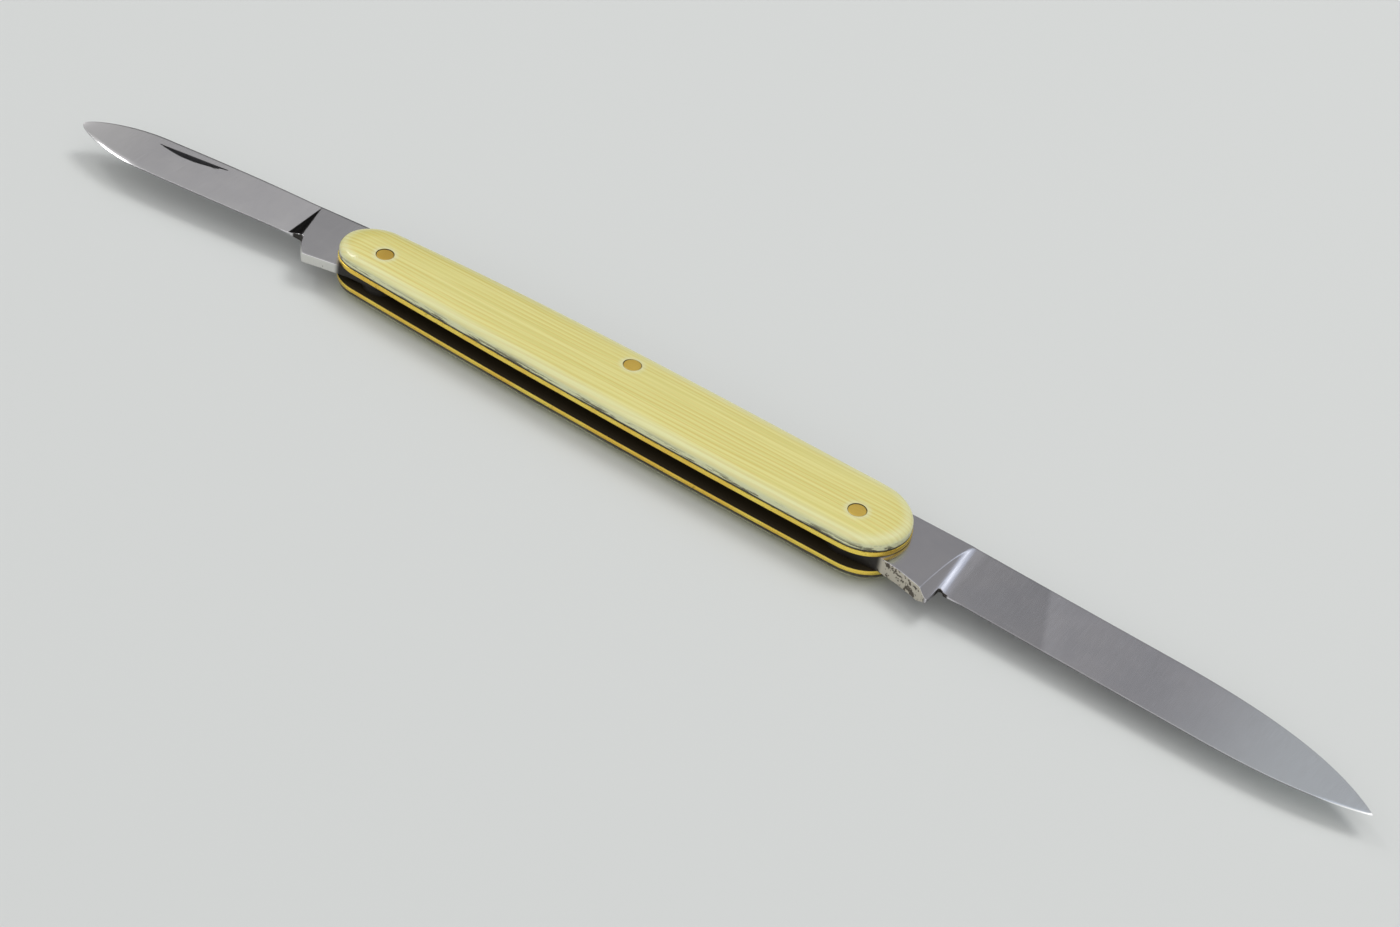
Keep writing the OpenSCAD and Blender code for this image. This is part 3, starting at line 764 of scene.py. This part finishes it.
# %% [markdown]
# ## The liners and the spring
#
# These are stamped from sheet and bar, so their shape is their outline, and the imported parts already
# have it. What they lack is a broken edge. A copy of each part gets its steep edges bevelled by less
# than a tenth of a millimetre, which is enough to catch the light as a bright line.

# %% Make the liners and the spring
LINER_BREAK, SPRING_BREAK = 0.07, 0.08

for node in ("mark_liner", "pile_liner"):
    liner = softened(node + "_dressed", node, LINER_BREAK)
    dress(liner, liner_material, "handle", "liner_brass", node)
spring = softened("back_spring_dressed", "back_spring", SPRING_BREAK)
dress(spring, spring_steel, "handle", "spring_steel", "back_spring")

# %% [markdown]
# ## The pins
#
# Each pin is a brass rod, hammered at both ends and filed flush. The filing leaves the head almost
# flat, with a rim that is rounded over a few hundredths of a millimetre. A profile turned about the
# pin's axis gives both heads at once.

# %% Turn the pins
PIN_RIM = 0.07
HEAD_RISE = 0.03
TURN_STEPS = 64


def head_profile():
    """(radius, depth under the top) from the side of the pin to its middle."""
    rim = [(PIN_R - PIN_RIM * (1 - math.cos(a)), HEAD_RISE + PIN_RIM * (1 - math.sin(a)))
           for a in np.linspace(0, math.pi / 2, 5)]
    top = [(PIN_R * s, HEAD_RISE * s * s) for s in (0.8, 0.6, 0.4, 0.2)]
    return rim + top


def pin_piece(node):
    low, high = heights(node)
    centre = PINS[node]
    half = head_profile()
    profile = [(r, low + d) for r, d in reversed(half)] + [(r, high - d) for r, d in half]
    turns = np.linspace(0, 2 * math.pi, TURN_STEPS, endpoint=False)
    points = [(centre[0] + r * math.cos(a), centre[1] + r * math.sin(a), z)
              for r, z in profile for a in turns]
    points += [(*centre, low), (*centre, high)]
    n, rows = TURN_STEPS, len(profile)
    faces = tube_faces(rows, n) + [((i + 1) % n, i, rows * n) for i in range(n)]
    faces += [((rows - 1) * n + i, (rows - 1) * n + (i + 1) % n, rows * n + 1) for i in range(n)]
    return clean(mesh_piece(node + "_dressed", points, faces))


for node in PINS:
    dress(pin_piece(node), pin_material, "handle", "pin_brass", node)

# %% [markdown]
# ## How a blade is built
#
# A blade is one bar of steel: a flat tang that turns on the pin, a kick that stops it, and the ground
# part, which thins from the back to the edge. The grinding starts in a plunge, the hollow that the
# rim of the wheel leaves. The blade is a loft: ribs run from its lower side to its back, and each rib
# has an upper and a lower row of points, joined round the back and round the edge. The ribs lie close
# together at the plunge, where the shape changes fastest. The nail nick is cut as in the factory, by a
# leaning wheel, which leaves a crescent.

# %% Points across a blade, curves, and the hollow that a wheel leaves
RIB = np.concatenate([[0.0], np.linspace(0.02, 0.1, 3), np.linspace(0.1, 0.97, 30)[1:], [1.0]])
CORNER_R = 0.09
CORNER = np.linspace(0, math.pi / 2, 4)
CURVE_POINTS = 60
APART = 1e-6


def bezier(a, b, c, d):
    t = np.linspace(0, 1, CURVE_POINTS)[:, None]
    a, b, c, d = (np.array(p, float) for p in (a, b, c, d))
    return (1 - t) ** 3 * a + 3 * (1 - t) ** 2 * t * b + 3 * (1 - t) * t**2 * c + t**3 * d


def line_of(*stretches):
    """One line of points from several, as a function that gives its height at u."""
    points = np.vstack([np.atleast_2d(np.array(s, float)) for s in stretches])
    keep = np.concatenate([[True], np.diff(points[:, 0]) > APART])
    points = points[keep]
    return lambda u: np.interp(u, points[:, 0], points[:, 1])


def soft_min(a, b, width):
    gap = np.clip(0.5 + 0.5 * (b - a) / width, 0, 1)
    return b * (1 - gap) + a * gap - width * gap * (1 - gap)


def hollow(s, radius):
    s = np.clip(s, 0, radius)
    return radius - np.sqrt(radius**2 - s**2)


print(len(RIB), "points across each face of a blade, closest beside its edge")

# %% Loft a blade from its ribs
def loft(name, ribs, low, back, top, bottom):
    """ribs are places along u; low and back give the outline's two sides there."""
    rings = []
    for place in ribs:
        y_low, y_back = float(low(place)), float(back(place))
        u = np.full(len(RIB), place)
        flat = y_low + RIB * (y_back - y_low)
        thick = [float(top(u[k], flat[k]) - bottom(u[k], flat[k])) for k in (0, -1)]
        r = [min(CORNER_R, 0.45 * t, 0.2 * (y_back - y_low)) for t in thick]
        y = y_low + r[0] + RIB * (y_back - r[1] - y_low - r[0])
        upper, lower = top(u, y), bottom(u, y)
        ring = [(u[k], y[k], upper[k]) for k in range(len(RIB))]
        ring += [(u[-1], y[-1] + r[1] * math.sin(a), upper[-1] - r[1] * (1 - math.cos(a)))
                 for a in CORNER[1:]]
        ring += [(u[-1], y[-1] + r[1] * math.cos(a), lower[-1] + r[1] * (1 - math.sin(a)))
                 for a in CORNER]
        ring += [(u[k], y[k], lower[k]) for k in reversed(range(len(RIB) - 1))]
        ring += [(u[0], y[0] - r[0] * math.sin(a), lower[0] + r[0] * (1 - math.cos(a)))
                 for a in CORNER[1:]]
        ring += [(u[0], y[0] - r[0] * math.cos(a), upper[0] - r[0] * (1 - math.sin(a)))
                 for a in CORNER[:-1]]
        rings.append(ring)
    points = [p for ring in rings for p in ring]
    return mesh_piece(name, points, closed_tube(len(rings), len(rings[0])))


def placed(piece, pivot, mirror, material):
    """Puts a blade that was drawn about its pivot with the tip towards +X where it belongs."""
    flip = Matrix.Diagonal((-1 if mirror else 1, 1, 1, 1))
    piece.data.transform(Matrix.Translation((pivot * MM, 0, 0)) @ flip)
    if mirror:
        piece.data.flip_normals()
    piece.data.materials.append(material)
    return clean(piece)


print("each ring of a blade has", 2 * len(RIB) + 4 * (len(CORNER) - 1), "points")

# %% A wheel that cuts a nail nick, open upwards at height z
NICK_W = 1.15
NICK_LEAN = math.radians(20)


def nick_wheel(length, u, y, z, turn=0.0, up=1):
    sagitta = NICK_W * math.sin(NICK_LEAN)
    radius = (length**2 / 4 + sagitta**2) / (2 * sagitta)
    wheel = bar("wheel", (0, 0), radius, 0, 2 * NICK_W, 360)
    lift = (radius - sagitta) * MM
    lean = Matrix.Rotation(math.pi / 2 - NICK_LEAN, 4, "X")
    shift = Matrix.Translation((0, lift * math.sin(NICK_LEAN), lift * math.cos(NICK_LEAN)))
    flip = Matrix.Diagonal((1, 1, up, 1))
    spot = Matrix.Translation((u * MM, y * MM, z * MM)) @ Matrix.Rotation(turn, 4, "Z")
    wheel.data.transform(spot @ flip @ shift @ lean)
    wheel.data.materials.append(nick_steel)
    return clean(wheel)


print(f"a nick is {NICK_W} mm wide and leans {math.degrees(NICK_LEAN):.0f} degrees")

# %% What both blades share, with the round inner end of a tang
SHOULDER = (3.4, 3.41)
INNER_TURN = np.linspace(math.pi, math.pi / 2, 14)
EDGE_T, EDGE_END_T, EDGE_BEVEL = 0.16, 0.05, 0.2
FALL_SHARE = 0.4
GROUND_IN = 0.05
PLUNGE_SOFT = 0.05
THINNEST = 0.05


def inner_end(radius, side):
    """The quarter of the inner end on the side of the kick, -1, or of the spring, 1."""
    return [(radius * math.cos(a), side * radius * math.sin(a)) for a in INNER_TURN]


def share_up(u, y, ground):
    """0 at the edge and 1 at the back of a blade, whose ground part runs between two lines."""
    low, high = (line(u) for line in ground)
    return (y - low) / np.maximum(high - low, THINNEST)


def bevel_cut(u, v, ground, sharp, width=EDGE_BEVEL):
    """How far the sharpened bevel lies inside the ground face."""
    low, high = (line(u) for line in ground)
    wide = width / np.maximum(high - low, width)
    return np.interp(u, *sharp) * (EDGE_T - EDGE_END_T) / 2 * np.clip(1 - v / wide, 0, 1)


print("a sharpened edge ends", EDGE_END_T, "mm thick")

# %% Places of the ribs along a blade
RIB_FINE, RIB_MID, RIB_WIDE = 0.09, 0.8, 1.1
TIP_RIBS, TIP_CROWDING = 46, 1.6
PIVOT_GAP = 0.03


def steps(start, end, spacing):
    return list(np.linspace(start, end, max(2, round((end - start) / spacing)), endpoint=False))


def tip_steps(start, length):
    return [length - (length - start) * (1 - s) ** TIP_CROWDING for s in np.linspace(0, 1, TIP_RIBS)]


print("ribs are", RIB_FINE, "mm apart at the plunge and", RIB_WIDE, "mm apart along the blade")

# %% Finish a piece of a blade: its bore, its steel and its body
def finish_blade(piece, blade, material):
    drill(piece, blade.replace("blade", "pivot_pin"), PIVOT_GAP)
    dress(clean(piece), material, blade, blade + "_steel", blade)


# %% [markdown]
# ## The large blade
#
# Its back is nearly straight and its edge sweeps up to a spear tip. The values are the blade's own
# sizes, measured from its pivot: u runs to the tip and y to the back, and v is 0 at the edge and 1 at
# the back. Its lower face stays next to the lower liner, so that the small blade has room beside it
# when both are closed. The upper plunge is an easy hollow with a steep one at its root, and the last
# of the edge is sharpened with a narrow bevel.

# %% Outline of the large blade
LARGE_L = (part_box("large_blade")[1].x / MM) - LARGE_X
LARGE_TIP = 0.8
LARGE_CAM = 3.15
LARGE_KICK = (12.5, -4.0)
LARGE_NOTCH_END = (15.8, -1.7)
LARGE_EDGE_TURN = (45.0, -1.95)
LARGE_BACK, LARGE_BACK_RISE = 6.6, 0.35
LARGE_SPEAR_U = 38.0


def large_back_y(u):
    return LARGE_BACK + LARGE_BACK_RISE / (LARGE_SPEAR_U - SHOULDER[0]) * (u - SHOULDER[0])


inner_low = inner_end(LARGE_CAM, -1)
kick_side = [(LARGE_KICK[0] + du, LARGE_KICK[1] + dy)
             for du, dy in ((-7.3, 1.45), (-4.5, 1.1), (-1.8, 0.45), (-0.4, -0.02), (0, 0))]
large_root = [(12.55, -1.5), (12.8, -1.32), (13.1, -1.4), (13.5, -1.78), LARGE_NOTCH_END]
large_edge_curve = bezier(LARGE_EDGE_TURN, (LARGE_L - 13.4, -2.1), (LARGE_L - 6.4, -1.65),
                          (LARGE_L - 0.02, LARGE_TIP - 0.06))
large_back_curve = bezier((LARGE_SPEAR_U, large_back_y(LARGE_SPEAR_U)), (48, large_back_y(48)),
                          (LARGE_L - 7.4, LARGE_TIP + 5.6), (LARGE_L, LARGE_TIP + 0.06))
large_low_side = line_of(inner_low, kick_side, large_root, large_edge_curve)
large_high_side = line_of(inner_end(LARGE_CAM, 1), [(SHOULDER[0], LARGE_CAM)],
                          [(SHOULDER[1], LARGE_BACK)], large_back_curve)
large_ground = (line_of([(11.2, -2.05), LARGE_NOTCH_END], large_edge_curve),
                line_of([(0, large_back_y(0))], large_back_curve))
print(f"large blade {LARGE_L:.2f} mm from pivot to tip")

# %% Heights of the large blade's faces
LARGE_SHARP = ((59.5, 63.5), (0, 1))
LARGE_TIP_T, LARGE_TIP_LIFT, LARGE_TAPER = 0.3, 0.25, 1.25
LARGE_PLUNGE, LARGE_PLUNGE_EASY_R = (12.75, 0.25), 12.0
LARGE_PLUNGE_STEEP, LARGE_PLUNGE_STEEP_R = (13.1, 0.04), 3.9
LARGE_PLUNGE_BELOW, LARGE_PLUNGE_BELOW_R = 1.2, 5.3


def large_left(u):
    return np.clip((LARGE_L - u) / (LARGE_L - LARGE_PLUNGE[0]), 0, 1)


def large_back_t(u):
    return LARGE_TIP_T + (TANG_T - GROUND_IN - LARGE_TIP_T) * large_left(u) ** LARGE_TAPER


def large_floor(u, v):
    fall = FALL_SHARE * (large_back_t(u) - EDGE_T) * (1 - v)
    return TANG_LOW + LARGE_TIP_LIFT * (1 - large_left(u)) + fall


def plunge_line(y, plunge):
    """Where the plunge starts: its place at the back, and how far it leans for each mm below it."""
    return plunge[0] + plunge[1] * (LARGE_BACK - y)


def large_top(u, y):
    v = share_up(u, y, large_ground)
    thick = EDGE_T + (large_back_t(u) - EDGE_T) * v
    raised = large_floor(u, v) + thick - bevel_cut(u, v, large_ground, LARGE_SHARP)
    raised = raised + hollow(plunge_line(y, LARGE_PLUNGE) - u, LARGE_PLUNGE_EASY_R)
    raised = raised + hollow(plunge_line(y, LARGE_PLUNGE_STEEP) - u, LARGE_PLUNGE_STEEP_R)
    return soft_min(TANG_HIGH, raised, PLUNGE_SOFT)


def large_bottom(u, y):
    v = share_up(u, y, large_ground)
    sunk = large_floor(u, v) + bevel_cut(u, v, large_ground, LARGE_SHARP)
    sunk = sunk - hollow(plunge_line(y, LARGE_PLUNGE) - LARGE_PLUNGE_BELOW - u, LARGE_PLUNGE_BELOW_R)
    return -soft_min(-TANG_LOW, -sunk, PLUNGE_SOFT)


print(f"its back is {large_back_t(20):.2f} mm thick at 20 mm and {large_back_t(60):.2f} mm at 60 mm")

# %% Make the large blade
large_ribs = ([p[0] for p in inner_low] + steps(0.8, 3.3, RIB_MID) + [*SHOULDER]
              + steps(3.6, 9.8, RIB_MID) + steps(9.8, 12.5, RIB_FINE) + [LARGE_KICK[0], 12.62]
              + steps(12.7, 16.4, RIB_FINE) + steps(16.4, 45, RIB_WIDE) + tip_steps(45, LARGE_L))
large_blade = placed(loft("large_blade_dressed", large_ribs, large_low_side, large_high_side,
                          large_top, large_bottom), LARGE_X, False, large_steel)
print("large blade,", len(large_ribs), "ribs")

# %% Cut its nail nick and its bore
LARGE_NICK_U, LARGE_NICK_L, LARGE_NICK_DOWN = 36.0, 12.0, 1.2

nick_y = large_back_y(LARGE_NICK_U) - LARGE_NICK_DOWN
nick_z = float(large_bottom(np.array(LARGE_NICK_U), np.array(nick_y)))
cut(large_blade, nick_wheel(LARGE_NICK_L, LARGE_X + LARGE_NICK_U, nick_y, nick_z, up=-1))
finish_blade(large_blade, "large_blade", large_steel)

# %% [markdown]
# ## The small blade
#
# It is made the same way, but its edge and back both curve down to a low tip, and only its upper face
# keeps to its liner. Its plunge is one short steep slope, and only its belly is sharpened, on top. The
# tang is thin, with a round boss of full thickness at the pin.

# %% Outline of the small blade
SMALL_L = SMALL_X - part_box("small_blade")[0].x / MM
SMALL_TANG_T = 1.3
SMALL_TIP = -2.5
SMALL_CAM = 2.65
SMALL_KICK = (9.7, -4.3)
SMALL_EDGE_START = (15.6, -2.0)
SMALL_EDGE_TURN = (37.0, -4.8)
SMALL_BACK_TURN = (37.0, 2.5)
SMALL_BACK, SMALL_BACK_FALL = 5.75, 0.105
SMALL_BEND_U = 6.4


def small_back_y(u):
    return SMALL_BACK - SMALL_BACK_FALL * np.maximum(0, u - SMALL_BEND_U)


small_inner_low = inner_end(SMALL_CAM, -1)
small_kick_side = [(SMALL_KICK[0] + du, SMALL_KICK[1] + dy)
                   for du, dy in ((-6.7, 1.5), (-3.7, 0.8), (-0.3, -0.02), (0, 0), (0.2, 0.15),
                                  (1.3, 1.3), (2.2, 2.8), (2.8, 2.9), (3.7, 2.65))]
small_edge_curve = np.vstack([
    bezier(SMALL_EDGE_START, (22.7, -2.95), (29.9, -4.0), SMALL_EDGE_TURN),
    bezier(SMALL_EDGE_TURN, (SMALL_L - 6.2, -5.345), (SMALL_L - 0.4, SMALL_TIP - 1.05),
           (SMALL_L - 0.02, SMALL_TIP - 0.08))])
small_back_curve = np.vstack([
    bezier((15.6, small_back_y(15.6)), (22.7, 4.3), (29.9, 3.45), SMALL_BACK_TURN),
    bezier(SMALL_BACK_TURN, (43.2, 2.0), (SMALL_L - 0.35, SMALL_TIP + 1.4),
           (SMALL_L, SMALL_TIP + 0.08))])
small_low_side = line_of(small_inner_low, small_kick_side, small_edge_curve)
small_high_side = line_of(inner_end(SMALL_CAM, 1), [(SHOULDER[0], SMALL_CAM)],
                          [(SHOULDER[1], SMALL_BACK), (SMALL_BEND_U, SMALL_BACK)], small_back_curve)
small_ground = (line_of([(11.6, -1.55)], small_edge_curve),
                line_of([(0, SMALL_BACK), (SMALL_BEND_U, SMALL_BACK)], small_back_curve))
print(f"small blade {SMALL_L:.2f} mm from pivot to tip")

# %% Heights of the small blade's faces
SMALL_GROUND_U, SMALL_TIP_T = 14.3, 0.32
SMALL_PLUNGE_U, SMALL_PLUNGE_RISE = 14.2, 0.235
SMALL_BEVEL = 0.34
SMALL_SHARP = ((36.5, 39, 43, 46), (0, 1, 1, 0))


def small_back_t(u):
    left = np.clip((SMALL_L - u) / (SMALL_L - SMALL_GROUND_U), 0, 1)
    return SMALL_TIP_T + (SMALL_TANG_T - GROUND_IN - SMALL_TIP_T) * left


def small_ceiling(u, v):
    return TANG_HIGH - FALL_SHARE * small_back_t(u) * (1 - v)


def small_plunge(u):
    return SMALL_PLUNGE_RISE * np.maximum(0, SMALL_PLUNGE_U - u)


def small_top(u, y):
    v = share_up(u, y, small_ground)
    bevel = 2 * bevel_cut(u, v, small_ground, SMALL_SHARP, SMALL_BEVEL)
    raised = small_ceiling(u, v) - bevel + small_plunge(u)
    return soft_min(TANG_HIGH, raised, PLUNGE_SOFT / 4)


def small_bottom(u, y):
    v = share_up(u, y, small_ground)
    thick = EDGE_T + (small_back_t(u) - EDGE_T) * v
    sunk = small_ceiling(u, v) - thick - small_plunge(u)
    return -soft_min(SMALL_TANG_T - TANG_HIGH, -sunk, PLUNGE_SOFT)


print(f"its back is {small_back_t(20):.2f} mm thick at 20 mm and {small_back_t(40):.2f} mm at 40 mm")

# %% Make the small blade
small_ribs = ([p[0] for p in small_inner_low] + steps(0.8, 3.3, RIB_MID) + [*SHOULDER]
              + steps(3.6, 9.4, RIB_MID) + [9.4, 9.7, 9.9, 10.4, 11.0]
              + steps(11.1, 15.6, RIB_FINE) + steps(15.6, 37, RIB_WIDE) + tip_steps(37, SMALL_L))
small_blade = placed(loft("small_blade_dressed", small_ribs, small_low_side, small_high_side,
                          small_top, small_bottom), SMALL_X, True, small_steel)
print("small blade,", len(small_ribs), "ribs")

# %% Cut its nail nick and its bore
SMALL_NICK_U, SMALL_NICK_L, SMALL_NICK_DOWN = 33.2, 10.8, 3.95
SMALL_NICK_TURN = math.radians(9.7)

cut(small_blade, nick_wheel(SMALL_NICK_L, SMALL_X - SMALL_NICK_U, SMALL_BACK - SMALL_NICK_DOWN,
                            TANG_HIGH, turn=SMALL_NICK_TURN))
finish_blade(small_blade, "small_blade", small_steel)

# %% The boss of the small blade's tang
BOSS_SIDES = 64

boss = clean(bar("small_blade_boss", PINS["small_pivot_pin"], SMALL_CAM, TANG_LOW,
                 TANG_HIGH - SMALL_TANG_T, BOSS_SIDES))
boss.data.materials.append(small_steel)
finish_blade(boss, "small_blade", small_steel)

# %% [markdown]
# ## Floor, light and camera
#
# The knife lies on a plain pale floor. Polished steel shows whatever is round it, so the room matters
# as much as the steel. Its walls are an even grey, which is what the flat of each blade mirrors. A
# bluish window behind the knife lights up the large plunge, a pale wall at the left is seen in the
# small blade, a paler side in front is seen in the edges, and a dark corner keeps the small plunge
# dark. The ceiling lamp isn't mirrored, because it would turn the blades white when seen from above.

# %% Floor
FLOOR_HALF = 3.0
floor_corners = [(x * FLOOR_HALF, y * FLOOR_HALF, 0) for x, y in ((-1, -1), (1, -1), (1, 1), (-1, 1))]
floor_mesh = bpy.data.meshes.new("floor")
floor_mesh.from_pydata(floor_corners, [], [(0, 1, 2, 3)])
floor = add_object("floor", floor_mesh)
floor_material, net, shader = new_material("pale_floor")
fill(net, shader, {"Base Color": colour(211, 213, 211), "Roughness": 0.9, "Specular IOR Level": 0.1})
floor.data.materials.append(floor_material)
print("floor", 2 * FLOOR_HALF, "m wide")

# %% The room, as a world that is an even grey with a window, a pale wall and a dark corner
world = bpy.data.worlds.new("room")
scene.world = world
world.use_nodes = True
net = Net(world.node_tree)
background = world.node_tree.nodes["Background"]
looking = net.node("ShaderNodeTexCoord").outputs["Generated"]


def near(direction, outer, inner):
    """1 within the angle inner of a direction, falling to 0 at the angle outer, both in degrees."""
    toward = tuple(Vector(direction).normalized())
    cosine = net.vector("DOT_PRODUCT", looking, toward, "Value")
    return net.ramp(cosine, math.cos(math.radians(outer)), math.cos(math.radians(inner)))


PALE_PARTS = {
    "window": ((0.13, 0.53, 0.84), 16, 7, (0.42, 0.48, 0.6, 1)),
    "middle of the window": ((0.16, 0.53, 0.83), 6, 1, (1.1, 1.14, 1.2, 1)),
    "pale wall": ((-0.743, 0.026, 0.669), 46, 12, (0.45, 0.445, 0.44, 1)),
    "side in front": ((0.22, -0.6, 0.77), 60, 20, (0.6, 0.6, 0.6, 1))}
WALLS, OVERHEAD, DARK_CORNER = (0.335, 0.335, 0.34, 1), (0.9, 0.9, 0.9, 1), (0.012, 0.011, 0.01, 1)

room = net.mix(near((0, 0, 1), 26, 0), WALLS, OVERHEAD)
for direction, outer, inner, light in PALE_PARTS.values():
    room = net.mix(near(direction, outer, inner), room, light, "ADD")
room = net.mix(near((-0.759, 0.636, 0.139), 28, 22), room, DARK_CORNER)
net.feed(background.inputs["Color"], room)
background.inputs["Strength"].default_value = 1.0
print("world", world.name, "with", ", ".join(PALE_PARTS))

# %% Lamps, each aimed at the knife from its direction
def lamp(name, direction, distance, size, power):
    data = bpy.data.lights.new(name, "AREA")
    data.shape = "SQUARE"
    data.size = size
    data.energy = power
    made = add_object(name, data)
    toward = Vector(direction).normalized()
    made.location = toward * distance
    made.rotation_mode = "QUATERNION"
    made.rotation_quaternion = toward.to_track_quat("Z", "Y")
    return made


ceiling = lamp("ceiling", (0.2, 0.3, 0.93), 1.1, 0.4, 3.4)
ceiling.visible_glossy = False
lamp("left", (-0.65, 0.1, 0.75), 1.0, 0.2, 0.7)

# %% Camera, at the photograph's angle
CAMERA_AZIMUTH = math.radians(29.139)
CAMERA_ELEVATION = math.radians(39.618)
CAMERA_ROLL = math.radians(9.118)
CAMERA_AWAY = 334.157
AIM = Vector((16.913, -5.821, 7.14))
FOCAL_PIXELS, IMAGE_W, SENSOR_W = 2893.67, 1400, 36.0
CLIP_NEAR, CLIP_FAR = 0.01, 20

back = Vector((math.sin(CAMERA_AZIMUTH) * math.cos(CAMERA_ELEVATION),
               -math.cos(CAMERA_AZIMUTH) * math.cos(CAMERA_ELEVATION), math.sin(CAMERA_ELEVATION)))
right = Vector((math.cos(CAMERA_AZIMUTH), math.sin(CAMERA_AZIMUTH), 0))
up = back.cross(right)
rolled_right = math.cos(CAMERA_ROLL) * right + math.sin(CAMERA_ROLL) * up
rolled_up = math.cos(CAMERA_ROLL) * up - math.sin(CAMERA_ROLL) * right
camera_data = bpy.data.cameras.new("camera")
camera_data.sensor_width = SENSOR_W
camera_data.lens = FOCAL_PIXELS / IMAGE_W * SENSOR_W
camera_data.clip_start, camera_data.clip_end = CLIP_NEAR, CLIP_FAR
camera = add_object("camera", camera_data)
camera.matrix_world = Matrix((rolled_right, rolled_up, back)).transposed().to_4x4()
camera.location = (AIM + CAMERA_AWAY * back) * MM
scene.camera = camera
scene.view_settings.view_transform = "Standard"
print(f"lens {camera_data.lens:.1f} mm")
